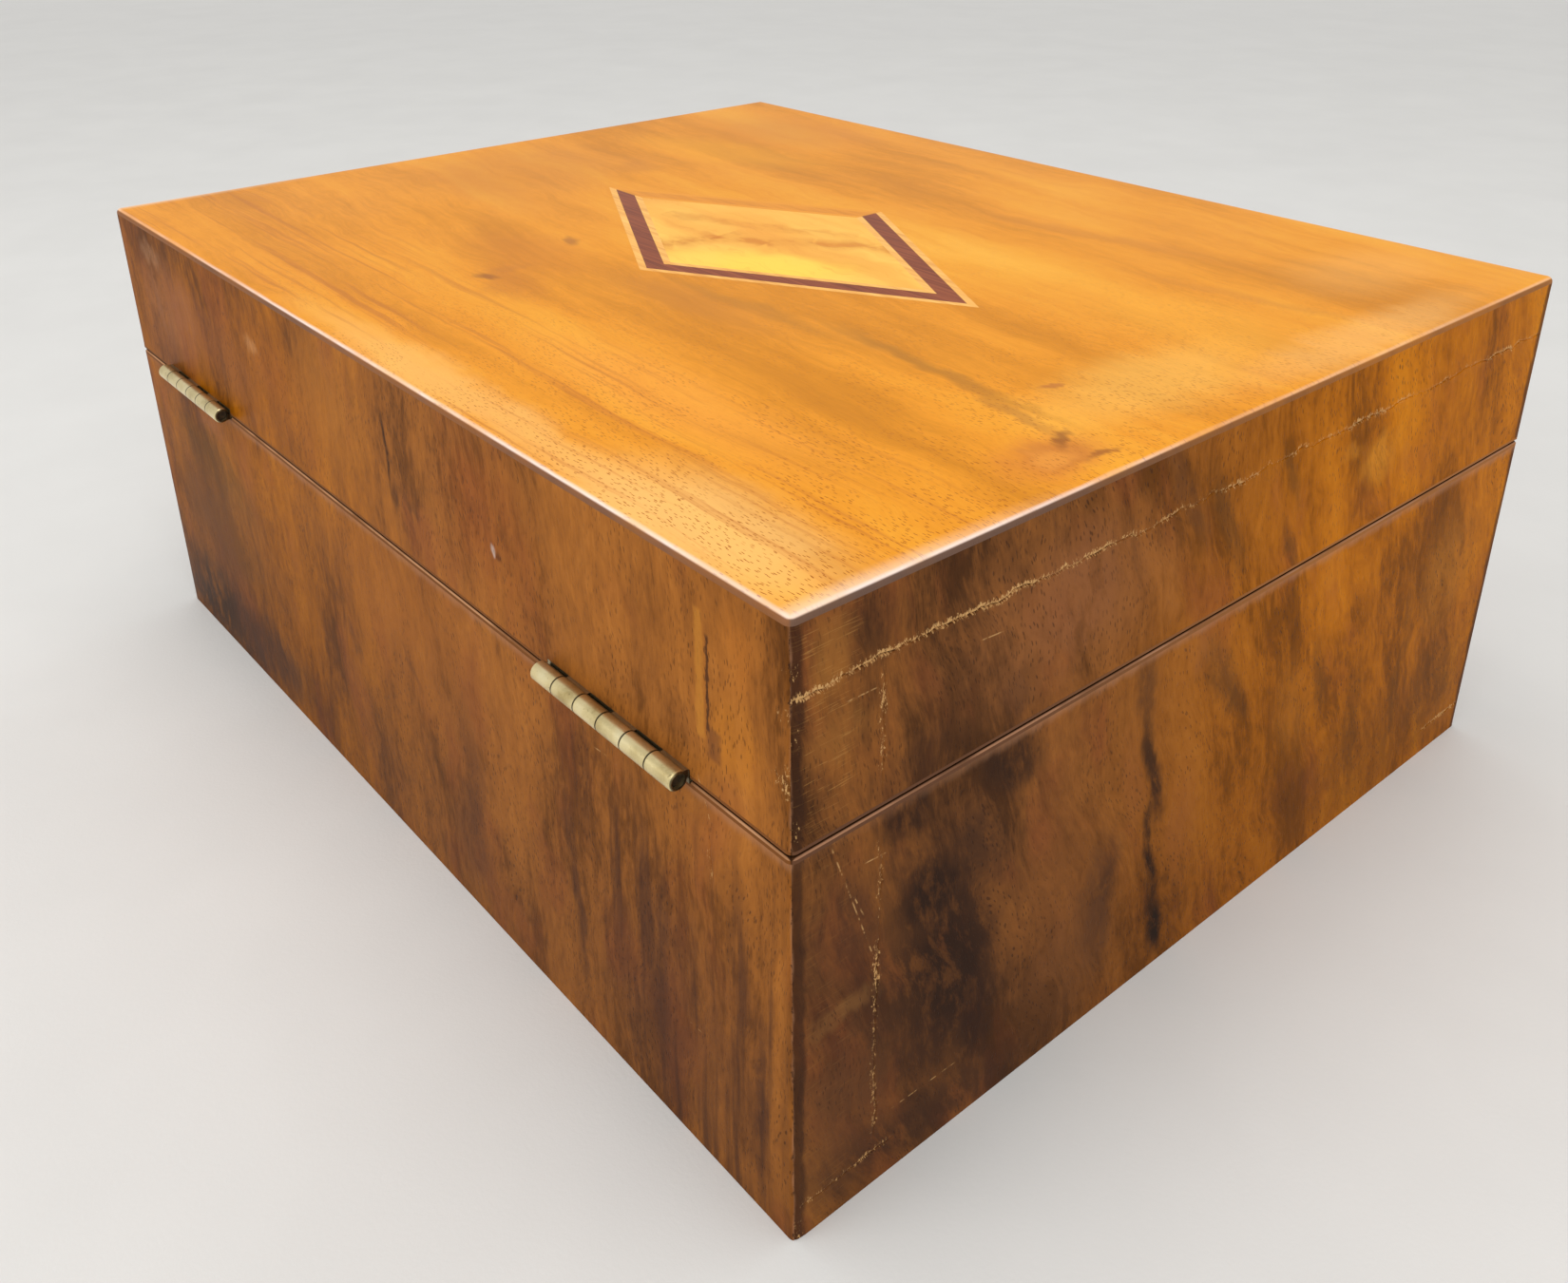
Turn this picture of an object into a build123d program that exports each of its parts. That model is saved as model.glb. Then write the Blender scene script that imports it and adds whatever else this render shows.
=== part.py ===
"""Antique glove box: a veneered, dovetailed walnut box with an inlaid lid on two brass butt hinges.

Millimetres. The origin is the centre of the underside. +X runs along the hinge edge, -Y is the front
with the lock, +Y is the back with the hinges and +Z is up. The lid is drawn closed.
"""

import os

from build123d import *

# ---------------------------------------------------------------- driving dimensions

# The whole box, closed
box_width = 300.0  # X, along the hinges
box_depth = 240.0  # Y
box_height = 129.0  # Z
lid_height = 43.0  # how much of the height belongs to the lid
lid_gap = 0.4  # daylight between the two rims

# Boards and veneers
wall_board = 17.5  # side boards of base and lid
top_board = 12.5
bottom_board = 8.0
veneer = 1.5  # outside veneers and the inlay
facing = 1.0  # veneer on the rims
glue_line = 0.06  # between the mitred strips of the facing
edge_round = 1.4  # worn rounding of the vertical and top edges
rim_arris = 0.4  # bevel on the outer edge of each rim

# Dovetails
dovetail_slope = 6.0  # length over spread
dovetail_pin = 4.0  # narrow end of a pin
base_tails = 3  # tails on each corner of the base
lid_tails = 1

# Diamond inlay in the top
inlay_length = 150.0  # tip to tip, X
inlay_width = 82.0  # tip to tip, Y
stringing = 1.8  # each pale line
inlay_band = 4.6  # the dark band

# Linings
lining = 1.5  # covered card on the walls
lining_drop = 1.0  # how far the card ends inside the rim
pad_play = 0.3  # between a pad and the card round it
floor_pad = 5.0
ceiling_pad = 8.0

# Hinges
hinge_length = 44.0
hinge_inset = 48.0  # middle of each hinge, from the end of the box
hinge_knuckles = 6
knuckle_gap = 0.15
barrel_radius = 2.0
barrel_play = 0.1  # between the barrel and the back of the box
barrel_end_round = 0.4
pin_radius = 1.35
pin_play = 0.05
pin_inset = 0.9  # how far the pin ends inside the barrel
leaf_thickness = 1.4
leaf_gap = 0.1  # between the closed leaves
leaf_sunk = 0.5  # how deep the lower leaf is let into the rim of the base
leaf_depth = 13.0  # how far a leaf reaches into the wood
leaf_play = 0.25  # between a leaf and its notch
hinge_screw_spread = 14.5  # outer screws, from the middle of the leaf
hinge_screw_depth = 5.5  # outer screws, from the back of the box
hinge_screw_stagger = 3.5  # the middle screw sits this much deeper

# Wood screws
screw_radius = 1.2
screw_head_radius = 2.1
screw_length = 12.0
screw_shank = 0.7  # share of the length that keeps its full width
screw_play = 0.05
screw_slot = 0.5
screw_slot_depth = 0.35
countersink_angle = 45

# Lock, let into the middle of the front board
lock_plate = 1.2  # thickness of all its plates
selvedge_width = 48.0  # the plate on the rim, and the back plate
selvedge_depth = 12.5
back_plate_height = 30.0
case_width = 36.0
case_height = 26.0
case_depth = 9.0  # back plate to cap, outside
case_play = 0.2  # between the lock and the wood
lock_screw_reach = 21.0  # screws, from the middle of the lock
lock_screw_rise = 6.0  # lower screws, above the foot of the back plate
keyhole_drop = 20.0  # key post, below the rim
key_post_radius = 1.1
keyhole_radius = 2.6
keyhole_slot = 2.4
keyhole_length = 8.0  # foot of the keyhole, below the key post
escutcheon_border = 1.6

# Bolt of the lock and the staples it catches
bolt_throw = 4.0
bolt_play = 0.2
bolt_drop = 12.0  # foot of the bar, below the rim
bolt_height = 3.5
bolt_thickness = 4.6
bolt_tail = 8.0  # bar left of the first hook
hook_thickness = 3.0
hook_height = 5.3  # above the bar
hook_tip_height = 2.8
hook_arm = 2.5
staple_reach = 8.0  # staples, from the middle of the lock
staple_thickness = 2.0
staple_length = 7.6  # below the link plate
staple_depth = 5.8
staple_play = 0.4  # round the hook, and between its tip and the staple at rest
staple_slot_play = 0.5  # round the staple, in the selvedge
talon_width = 4.0  # notch in the bar for the key
talon_height = 2.0
rail_length = 9.0
rail_height = 1.9
spring_thickness = 0.4
spring_length = 28.0
spring_height = 2.8
spring_play = 0.15

# Link plate in the rim of the lid
link_width = 40.0
link_depth = 11.0
link_inset = 0.5  # from the inner face of the lid's front board
link_screw_reach = 15.5

# Drawing allowances
overshoot = 1.0  # how far a cut runs past the face it opens
through = 4  # a hole is drawn this many plate thicknesses long, to pass right through
nearly = 0.001  # two measures closer than this count as the same
fillet_slack = 0.02  # keeps the fillet of the top clear of the rounded corners
fillet_share = 0.95  # the most of the veneer's thickness that the fillet may take

# ---------------------------------------------------------------- derived places

half_width = box_width / 2
half_depth = box_depth / 2
core_x = half_width - veneer  # outer faces of the boards
core_y = half_depth - veneer
inner_x = core_x - wall_board  # inner faces of the boards
inner_y = core_y - wall_board

base_rim = box_height - lid_height
lid_rim = base_rim + lid_gap
base_wall_top = base_rim - facing
lid_wall_foot = lid_rim + facing
lid_wall_top = box_height - veneer - top_board

hinge_centre = half_width - hinge_inset
axis_y = half_depth + barrel_play + barrel_radius
base_leaf_foot = base_rim - leaf_sunk
base_leaf_top = base_leaf_foot + leaf_thickness
axis_z = base_leaf_top + leaf_gap / 2
leaf_back = half_depth  # outer edge of the flat part of each leaf
leaf_front = half_depth - leaf_depth
lid_leaf_foot = base_leaf_top + leaf_gap
lid_leaf_top = lid_leaf_foot + leaf_thickness
knuckle_length = (hinge_length - (hinge_knuckles - 1) * knuckle_gap) / hinge_knuckles

lock_back = -inner_y  # inner face of the front board, flush with the back plate
plate_front = lock_back - lock_plate
case_front = lock_back - case_depth
selvedge_foot = base_rim - lock_plate
case_foot = base_rim - case_height
back_plate_foot = base_rim - back_plate_height
mortise_front = case_front - lock_plate - case_play
key_z = base_rim - keyhole_drop
bolt_foot = base_rim - bolt_drop
bolt_top = bolt_foot + bolt_height
bolt_back = plate_front - bolt_play
bolt_front = bolt_back - bolt_thickness
hook_back = bolt_front + hook_thickness
hook_top = bolt_top + hook_height
hook_tip_foot = hook_top - hook_tip_height
hook_tip_end = staple_thickness / 2 + staple_play  # from the middle of a staple
hook_arm_near = hook_tip_end + bolt_throw - bolt_play  # inner face of the arm
hook_arm_far = hook_arm_near + hook_arm
bolt_right = staple_reach + hook_arm_far
bolt_left = -staple_reach + hook_arm_near - bolt_tail
staple_back = hook_back + (staple_depth - hook_thickness) / 2
staple_front = staple_back - staple_depth

os.makedirs("parts", exist_ok=True)


def finish(piece, name):
    """Label a piece and write it to its own file."""
    piece.part.label = name
    export_step(piece.part, f"parts/{name}.step")


def block(x0, x1, y0, y1, z0, z1, mode=Mode.ADD):
    """A box between six planes, added to the piece being built."""
    with Locations(((x0 + x1) / 2, (y0 + y1) / 2, (z0 + z1) / 2)):
        Box(abs(x1 - x0), abs(y1 - y0), abs(z1 - z0), mode=mode)


# ---------------------------------------------------------------- boards


def tails(foot, top, count):
    """Outlines of the tails of both ends of a side board, drawn in a sketch of the YZ plane."""
    pitch = (top - foot) / count
    half_end = (pitch - dovetail_pin) / 2
    half_neck = half_end - wall_board / dovetail_slope
    for index in range(count):
        middle = foot + pitch * (index + 0.5)
        for end in (-1, 1):
            Polygon(
                (end * inner_y, middle - half_neck),
                (end * core_y, middle - half_end),
                (end * core_y, middle + half_end),
                (end * inner_y, middle + half_neck),
            )


def side_board(name, side, foot, top, count):
    """A left (-1) or right (+1) board, which carries the tails."""
    with BuildPart() as board:
        with BuildSketch(Plane.YZ.offset(min(side * inner_x, side * core_x))):
            with Locations((0, (foot + top) / 2)):
                Rectangle(2 * inner_y, top - foot)
            tails(foot, top, count)
        extrude(amount=wall_board)
    finish(board, name)


def cross_board(side, foot, top, count):
    """A front (-1) or back (+1) board, with sockets for the tails at both ends."""
    with BuildPart() as board:
        block(-core_x, core_x, side * inner_y, side * core_y, foot, top)
        with BuildSketch(Plane.YZ.offset(inner_x)):
            tails(foot, top, count)
        extrude(amount=wall_board, mode=Mode.SUBTRACT)
        with BuildSketch(Plane.YZ.offset(-core_x)):
            tails(foot, top, count)
        extrude(amount=wall_board, mode=Mode.SUBTRACT)
    return board


def keyhole(radius_more=0.0, mode=Mode.ADD):
    """The outline of the keyhole, or a larger one round it, drawn in a sketch seen from the front."""
    half_slot = keyhole_slot / 2 + radius_more
    foot = key_z - keyhole_length + keyhole_slot / 2
    with Locations((0, key_z)):
        Circle(keyhole_radius + radius_more, mode=mode)
    with Locations((0, (foot + key_z) / 2)):
        Rectangle(2 * half_slot, key_z - foot, mode=mode)
    with Locations((0, foot)):
        Circle(half_slot, mode=mode)


def cut_keyhole(front, back, radius_more=0.0):
    """Cut the keyhole from one Y to another through the piece being built."""
    with BuildSketch(Plane.XZ.offset(-back)) as outline:
        keyhole(radius_more)
    extrude(outline.sketch, amount=back - front, mode=Mode.SUBTRACT)


def screw_places(side):
    """Where the screws of one hinge stand: side -1 is the left hinge, +1 the right one."""
    middle = side * hinge_centre
    outer_y = half_depth - hinge_screw_depth
    return [
        (middle - hinge_screw_spread, outer_y),
        (middle, outer_y - hinge_screw_stagger),
        (middle + hinge_screw_spread, outer_y),
    ]


def all_hinge_screws():
    return screw_places(-1) + screw_places(1)


def drill(places, z0, z1):
    """Upright screw holes from z0 to z1 through the piece being built."""
    for x, y in places:
        with Locations((x, y, (z0 + z1) / 2)):
            Cylinder(screw_radius + screw_play, z1 - z0, mode=Mode.SUBTRACT)


def hinge_notches(z0, z1):
    """Cut two hinge notches, open at the back, in the piece being built."""
    half = hinge_length / 2 + leaf_play
    for side in (-1, 1):
        middle = side * hinge_centre
        near_y = leaf_front - leaf_play
        block(middle - half, middle + half, near_y, half_depth + overshoot, z0, z1, Mode.SUBTRACT)


lock_screw_y = lock_back - selvedge_depth / 2
link_back = lock_back - link_inset
link_front = link_back - link_depth
link_screw_y = (link_front + link_back) / 2
lower_screw_z = back_plate_foot + lock_screw_rise
rim_screws = [(-lock_screw_reach, lock_screw_y), (lock_screw_reach, lock_screw_y)]
link_screws = [(-link_screw_reach, link_screw_y), (link_screw_reach, link_screw_y)]


def cut_lock_room(foot, top):
    """Cut the room for the lock's plates and case out of the front wall."""
    half_case = case_width / 2 + case_play
    half_plate = selvedge_width / 2
    block(-half_case, half_case, mortise_front, lock_back, case_foot - case_play, top, Mode.SUBTRACT)
    block(-half_plate, half_plate, plate_front, lock_back, back_plate_foot, top, Mode.SUBTRACT)
    block(
        -half_plate, half_plate, lock_back - selvedge_depth, lock_back, max(foot, selvedge_foot), top,
        Mode.SUBTRACT,
    )


def make_base_boards():
    with BuildPart() as bottom:
        block(-core_x, core_x, -core_y, core_y, 0, bottom_board)
    finish(bottom, "base_bottom_board")
    side_board("base_left_board", -1, bottom_board, base_wall_top, base_tails)
    side_board("base_right_board", 1, bottom_board, base_wall_top, base_tails)

    back = cross_board(1, bottom_board, base_wall_top, base_tails)
    with back:
        drill(all_hinge_screws(), base_leaf_top - screw_length - screw_play, base_rim)
    finish(back, "base_back_board")

    front = cross_board(-1, bottom_board, base_wall_top, base_tails)
    with front:
        cut_lock_room(bottom_board, base_rim)
        cut_keyhole(-core_y, mortise_front)
        drill(rim_screws, base_rim - screw_length - screw_play, base_rim)
        for side in (-1, 1):
            with Locations(Location((side * lock_screw_reach, lock_back, lower_screw_z), (90, 0, 0))):
                Hole(screw_radius + screw_play, screw_length + screw_play)
    finish(front, "base_front_board")


def make_lid_boards():
    with BuildPart() as top:
        block(-core_x, core_x, -core_y, core_y, lid_wall_top, lid_wall_top + top_board)
    finish(top, "lid_top_board")
    side_board("lid_left_board", -1, lid_wall_foot, lid_wall_top, lid_tails)
    side_board("lid_right_board", 1, lid_wall_foot, lid_wall_top, lid_tails)

    back = cross_board(1, lid_wall_foot, lid_wall_top, lid_tails)
    with back:
        hinge_notches(lid_rim, lid_leaf_top)
        drill(all_hinge_screws(), lid_rim, lid_leaf_foot + screw_length + screw_play)
    finish(back, "lid_back_board")

    front = cross_board(-1, lid_wall_foot, lid_wall_top, lid_tails)
    with front:
        cut_link_room()
        drill(link_screws, lid_rim, lid_rim + screw_length + screw_play)
    finish(front, "lid_front_board")


def cut_link_room():
    """Cut the room for the link plate out of the lid's front rim."""
    half = link_width / 2
    block(-half, half, link_front, link_back, lid_rim, lid_rim + lock_plate, Mode.SUBTRACT)


# ---------------------------------------------------------------- veneers


def strip_outline(side, depth, gap=0.0):
    """The mitred quarter of a frame of the given depth, held off its neighbours by half the gap each."""
    held = gap / 2**0.5
    near_x = half_width - depth
    near_y = half_depth - depth
    if side in ("front", "back"):
        sign = 1 if side == "back" else -1
        far_x = half_width - held
        near_x = near_x - held
        return [
            (-far_x, sign * half_depth), (far_x, sign * half_depth),
            (near_x, sign * near_y), (-near_x, sign * near_y),
        ]
    sign = 1 if side == "right" else -1
    far_y = half_depth - held
    near_y = near_y - held
    return [
        (sign * half_width, -far_y), (sign * half_width, far_y),
        (sign * near_x, near_y), (sign * near_x, -near_y),
    ]


def side_veneer(side, foot, top):
    """One upright veneer, mitred at its ends and rounded at the corners of the box."""
    with BuildPart() as sheet:
        with BuildSketch(Plane.XY.offset(foot)):
            Polygon(*strip_outline(side, veneer))
            RectangleRounded(box_width, box_depth, edge_round, mode=Mode.INTERSECT)
        extrude(amount=top - foot)
    return sheet


def make_side_veneers():
    for side in ("front", "back", "left", "right"):
        base = side_veneer(side, 0, base_wall_top)
        lid = side_veneer(side, lid_wall_foot, box_height - veneer)
        if side == "front":
            with base:
                cut_keyhole(-half_depth - overshoot, -core_y + overshoot, escutcheon_border)
        if side == "back":
            with lid:
                hinge_notches(lid_rim, lid_leaf_top)
        finish(base, f"base_{side}_veneer")
        finish(lid, f"lid_{side}_veneer")


def rim_ring(foot, worn_top):
    """The facing on a rim as one ring, with its outer edge bevelled at the top or at the foot."""
    with BuildPart() as ring:
        with BuildSketch(Plane.XY.offset(foot)):
            RectangleRounded(box_width, box_depth, edge_round)
            Rectangle(2 * inner_x, 2 * inner_y, mode=Mode.SUBTRACT)
        extrude(amount=facing)
        face = ring.faces().sort_by(Axis.Z)[-1 if worn_top else 0]
        chamfer(face.outer_wire().edges(), rim_arris)
    return ring


def make_rim_veneers():
    wall = veneer + wall_board
    for name, foot, worn_top in (
        ("base_rim_veneer", base_wall_top, True),
        ("lid_rim_veneer", lid_rim, False),
    ):
        strips = []
        for side in ("front", "back", "left", "right"):
            strip = rim_ring(foot, worn_top)
            with strip:
                with BuildSketch(Plane.XY.offset(foot)) as quarter:
                    Polygon(*strip_outline(side, wall, glue_line))
                extrude(quarter.sketch, amount=facing, mode=Mode.INTERSECT)
                if name == "base_rim_veneer" and side == "front":
                    cut_lock_room(base_wall_top, base_rim)
                    drill(rim_screws, base_wall_top, base_rim)
                if name == "base_rim_veneer" and side == "back":
                    hinge_notches(base_leaf_foot, base_rim)
                    drill(all_hinge_screws(), base_wall_top, base_rim)
                if name == "lid_rim_veneer" and side == "back":
                    hinge_notches(lid_rim, lid_leaf_top)
                if name == "lid_rim_veneer" and side == "front":
                    cut_link_room()
            strips.append(strip.part)
        with BuildPart() as whole:
            for strip in strips:
                add(strip)
        finish(whole, name)


# ---------------------------------------------------------------- top and inlay


def diamond(inset, mode=Mode.ADD):
    """The inlay's rhombus, moved in from its edge by the given distance."""
    half_x = inlay_length / 2
    half_y = inlay_width / 2
    shrink = 1 - inset * (half_x**2 + half_y**2) ** 0.5 / (half_x * half_y)
    x = half_x * shrink
    y = half_y * shrink
    Polygon((-x, 0), (0, -y), (x, 0), (0, y), mode=mode)


def make_top():
    foot = box_height - veneer
    with BuildPart() as top:
        with BuildSketch(Plane.XY.offset(foot)):
            RectangleRounded(box_width, box_depth, edge_round)
        extrude(amount=veneer)
        upper_rim = top.faces().sort_by(Axis.Z)[-1].outer_wire().edges()
        fillet(upper_rim, min(edge_round, fillet_share * veneer) - fillet_slack)
        with BuildSketch(Plane.XY.offset(foot)):
            diamond(0)
        extrude(amount=veneer, mode=Mode.SUBTRACT)
    finish(top, "lid_top_veneer")

    band_edge = stringing + inlay_band
    for name, outer, inner in (
        ("inlay_outer_stringing", 0, stringing),
        ("inlay_dark_band", stringing, band_edge),
        ("inlay_inner_stringing", band_edge, band_edge + stringing),
        ("inlay_centre_panel", band_edge + stringing, None),
    ):
        with BuildPart() as piece:
            with BuildSketch(Plane.XY.offset(foot)):
                diamond(outer)
                if inner is not None:
                    diamond(inner, Mode.SUBTRACT)
            extrude(amount=veneer)
        finish(piece, name)


# ---------------------------------------------------------------- linings


def make_linings():
    lock_window = selvedge_width / 2 + pad_play
    for owner, foot, top in (
        ("base", bottom_board, base_rim - lining_drop),
        ("lid", lid_rim + lining_drop, lid_wall_top),
    ):
        for side, sign in (("front", -1), ("back", 1)):
            with BuildPart() as card:
                block(-inner_x, inner_x, sign * (inner_y - lining), sign * inner_y, foot, top)
                if owner == "base" and side == "front":
                    block(
                        -lock_window, lock_window, -inner_y, -inner_y + lining,
                        back_plate_foot - pad_play, top, Mode.SUBTRACT,
                    )
            finish(card, f"{owner}_{side}_lining")
        for side, sign in (("left", -1), ("right", 1)):
            with BuildPart() as card:
                half_card = inner_y - lining
                block(sign * (inner_x - lining), sign * inner_x, -half_card, half_card, foot, top)
            finish(card, f"{owner}_{side}_lining")

    x = inner_x - lining - pad_play
    y = inner_y - lining - pad_play
    with BuildPart() as pad:
        block(-x, x, -y, y, bottom_board, bottom_board + floor_pad)
    finish(pad, "base_floor_pad")
    with BuildPart() as pad:
        block(-x, x, -y, y, lid_wall_top - ceiling_pad, lid_wall_top)
    finish(pad, "lid_ceiling_pad")


# ---------------------------------------------------------------- screws


def screw_at(plane):
    """A slotted countersunk screw: the plane is the face of its head, pointing out of the wood."""
    head = screw_head_radius - screw_radius
    with BuildPart() as screw:
        with BuildSketch(Plane.XZ):
            Polygon(
                (0, 0), (screw_head_radius, 0), (screw_radius, -head),
                (screw_radius, -screw_shank * screw_length), (0, -screw_length),
            )
        revolve(axis=Axis.Z)
        block(
            -screw_head_radius, screw_head_radius, -screw_slot / 2, screw_slot / 2,
            -screw_slot_depth, overshoot, Mode.SUBTRACT,
        )
    return plane.location * screw.part


def screw_group(planes, name):
    with BuildPart() as group:
        for plane in planes:
            add(screw_at(plane))
    finish(group, name)


def countersink(places, face_z, direction):
    """Sink the holes of a plate whose face is at face_z; the screws enter along -direction."""
    head = screw_head_radius - screw_radius
    for x, y in places:
        with BuildSketch(Plane((x, y, face_z), (1, 0, 0), (0, 0, direction))) as mouth:
            Circle(screw_head_radius + screw_play)
        extrude(mouth.sketch, amount=-head - screw_play, taper=countersink_angle, mode=Mode.SUBTRACT)
        with Locations((x, y, face_z)):
            Cylinder(screw_radius + screw_play, through * head, mode=Mode.SUBTRACT)


# ---------------------------------------------------------------- hinges


def knuckle_starts(middle, first):
    """Left ends of one leaf's knuckles: every second place along the barrel, from the given one."""
    pitch = knuckle_length + knuckle_gap
    start = middle - hinge_length / 2
    return [start + pitch * index for index in range(first, hinge_knuckles, 2)]


def hinge_leaf(side, foot, top, first, name):
    """A leaf with its knuckles; the barrel lies behind the box, the flat part on the rim."""
    middle = side * hinge_centre
    half = hinge_length / 2
    places = screw_places(side)
    faces_up = foot < axis_z
    with BuildPart() as leaf:
        block(middle - half, middle + half, leaf_front, leaf_back, foot, top)
        for start in knuckle_starts(middle, first):
            with BuildSketch(Plane.YZ.offset(start)):
                with Locations((axis_y, axis_z)):
                    Circle(barrel_radius)
                with Locations(((leaf_back + axis_y) / 2, (foot + top) / 2)):
                    Rectangle(axis_y - leaf_back, top - foot)
                with Locations((axis_y, axis_z)):
                    Circle(pin_radius + pin_play, mode=Mode.SUBTRACT)
            extrude(amount=knuckle_length)
        rounds = leaf.edges().filter_by(GeomType.CIRCLE)
        outsides = rounds.filter_by(lambda edge: abs(edge.radius - barrel_radius) < nearly)
        ends = outsides.filter_by(lambda edge: abs(abs(edge.center().X - middle) - half) < nearly)
        chamfer(ends, barrel_end_round)
        countersink(places, top if faces_up else foot, 1 if faces_up else -1)
    finish(leaf, name)


def make_hinges():
    for side, word in ((-1, "left"), (1, "right")):
        # The base leaf has the knuckle nearest the middle of the box, so the two hinges are a mirrored pair
        base_first = 1 if side < 0 else 0
        hinge_leaf(side, base_leaf_foot, base_leaf_top, base_first, f"hinge_{word}_base_leaf")
        hinge_leaf(side, lid_leaf_foot, lid_leaf_top, 1 - base_first, f"hinge_{word}_lid_leaf")

        with BuildPart() as pin:
            with Locations(Location((side * hinge_centre, axis_y, axis_z), (0, 90, 0))):
                Cylinder(pin_radius, hinge_length - 2 * pin_inset)
        finish(pin, f"hinge_{word}_pin")

        places = screw_places(side)
        down = [Plane((x, y, base_leaf_top), (1, 0, 0), (0, 0, 1)) for x, y in places]
        up = [Plane((x, y, lid_leaf_foot), (1, 0, 0), (0, 0, -1)) for x, y in places]
        screw_group(down, f"hinge_{word}_base_screws")
        screw_group(up, f"hinge_{word}_lid_screws")


# ---------------------------------------------------------------- lock


def lock_screw_planes():
    rim = [Plane((x, y, base_rim), (1, 0, 0), (0, 0, 1)) for x, y in rim_screws]
    inside = [
        Plane((side * lock_screw_reach, lock_back, lower_screw_z), (1, 0, 0), (0, 1, 0)) for side in (-1, 1)
    ]
    return rim + inside


def make_lock_case():
    half_plate = selvedge_width / 2
    half_case = case_width / 2
    rail_top = bolt_foot - bolt_play
    rail_far = half_case - lock_plate
    head = screw_head_radius - screw_radius
    with BuildPart() as case:
        block(-half_plate, half_plate, lock_back - selvedge_depth, lock_back, selvedge_foot, base_rim)
        block(-half_plate, half_plate, plate_front, lock_back, back_plate_foot, selvedge_foot)
        block(-half_case, half_case, case_front, plate_front, case_foot, selvedge_foot)
        block(
            -half_case + lock_plate, half_case - lock_plate, case_front, plate_front,
            case_foot + lock_plate, selvedge_foot, Mode.SUBTRACT,
        )
        for side in (-1, 1):
            far = side * rail_far
            near = side * (rail_far - rail_length)
            block(min(far, near), max(far, near), bolt_front, plate_front, rail_top - rail_height, rail_top)
            middle = side * staple_reach
            half_slot = staple_thickness / 2 + staple_slot_play
            block(
                middle - half_slot, middle + half_slot, staple_front - staple_slot_play,
                staple_back + staple_slot_play, selvedge_foot, base_rim, Mode.SUBTRACT,
            )
            screw_face = Plane((side * lock_screw_reach, lock_back, lower_screw_z), (1, 0, 0), (0, 1, 0))
            with BuildSketch(screw_face):
                Circle(screw_head_radius + screw_play)
            extrude(amount=-head - screw_play, taper=countersink_angle, mode=Mode.SUBTRACT)
            with Locations(Location((side * lock_screw_reach, lock_back, lower_screw_z), (90, 0, 0))):
                Cylinder(screw_radius + screw_play, through * lock_plate, mode=Mode.SUBTRACT)
        countersink(rim_screws, base_rim, 1)
        with Locations(Location((0, plate_front, key_z), (90, 0, 0))):
            Cylinder(key_post_radius + pin_play, through * lock_plate, mode=Mode.SUBTRACT)
    finish(case, "lock_case")


def make_lock():
    make_lock_case()
    half_case = case_width / 2

    with BuildPart() as cap:
        block(-half_case, half_case, case_front - lock_plate, case_front, case_foot, selvedge_foot)
        cut_keyhole(case_front - lock_plate - overshoot, case_front + overshoot)
    finish(cap, "lock_cap")

    post_front = mortise_front - lock_plate
    with BuildPart() as post:
        with Locations(Location((0, (post_front + lock_back) / 2, key_z), (90, 0, 0))):
            Cylinder(key_post_radius, lock_back - post_front)
    finish(post, "lock_key_post")

    with BuildPart() as bolt:
        block(bolt_left, bolt_right, bolt_front, bolt_back, bolt_foot, bolt_top)
        talon = bolt_throw / 2
        block(
            talon - talon_width / 2, talon + talon_width / 2, bolt_front, bolt_back,
            bolt_foot, bolt_foot + talon_height, Mode.SUBTRACT,
        )
        for staple in (-staple_reach, staple_reach):
            near = staple + hook_arm_near
            block(near, staple + hook_arm_far, bolt_front, hook_back, bolt_top, hook_top)
            block(staple + hook_tip_end, near, bolt_front, hook_back, hook_tip_foot, hook_top)
    finish(bolt, "lock_bolt")

    make_lock_spring()
    screw_group(lock_screw_planes(), "lock_screws")

    with BuildPart() as plate:
        with BuildSketch(Plane.XZ.offset(half_depth - veneer)):
            keyhole(escutcheon_border)
            keyhole(mode=Mode.SUBTRACT)
        extrude(amount=veneer)
    finish(plate, "keyhole_escutcheon")


def make_lock_spring():
    """A bowed strip whose ends stand on the cap and whose middle steadies the bolt."""
    half = spring_length / 2
    end_y = case_front
    crown_y = bolt_front - spring_play
    foot = bolt_foot + (bolt_height - spring_height) / 2
    with BuildPart() as spring:
        with BuildSketch(Plane.XY.offset(foot)):
            with BuildLine():
                ThreePointArc((-half, end_y), (0, crown_y), (half, end_y))
                Line((half, end_y), (half - spring_thickness, end_y))
                ThreePointArc(
                    (half - spring_thickness, end_y), (0, crown_y - spring_thickness),
                    (-half + spring_thickness, end_y),
                )
                Line((-half + spring_thickness, end_y), (-half, end_y))
            make_face()
        extrude(amount=spring_height)
    finish(spring, "lock_spring")


def make_link_plate():
    half = link_width / 2
    foot = lid_rim - staple_length
    eye_foot = hook_tip_foot - staple_play
    eye_top = hook_top + staple_play
    with BuildPart() as plate:
        block(-half, half, link_front, link_back, lid_rim, lid_rim + lock_plate)
        for staple in (-staple_reach, staple_reach):
            x0 = staple - staple_thickness / 2
            x1 = staple + staple_thickness / 2
            block(x0, x1, staple_front, staple_back, foot, lid_rim)
            block(
                x0, x1, bolt_front - staple_play, hook_back + staple_play, eye_foot, eye_top, Mode.SUBTRACT,
            )
        countersink(link_screws, lid_rim, -1)
    finish(plate, "lock_link_plate")
    planes = [Plane((x, y, lid_rim), (1, 0, 0), (0, 0, -1)) for x, y in link_screws]
    screw_group(planes, "link_plate_screws")


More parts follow.
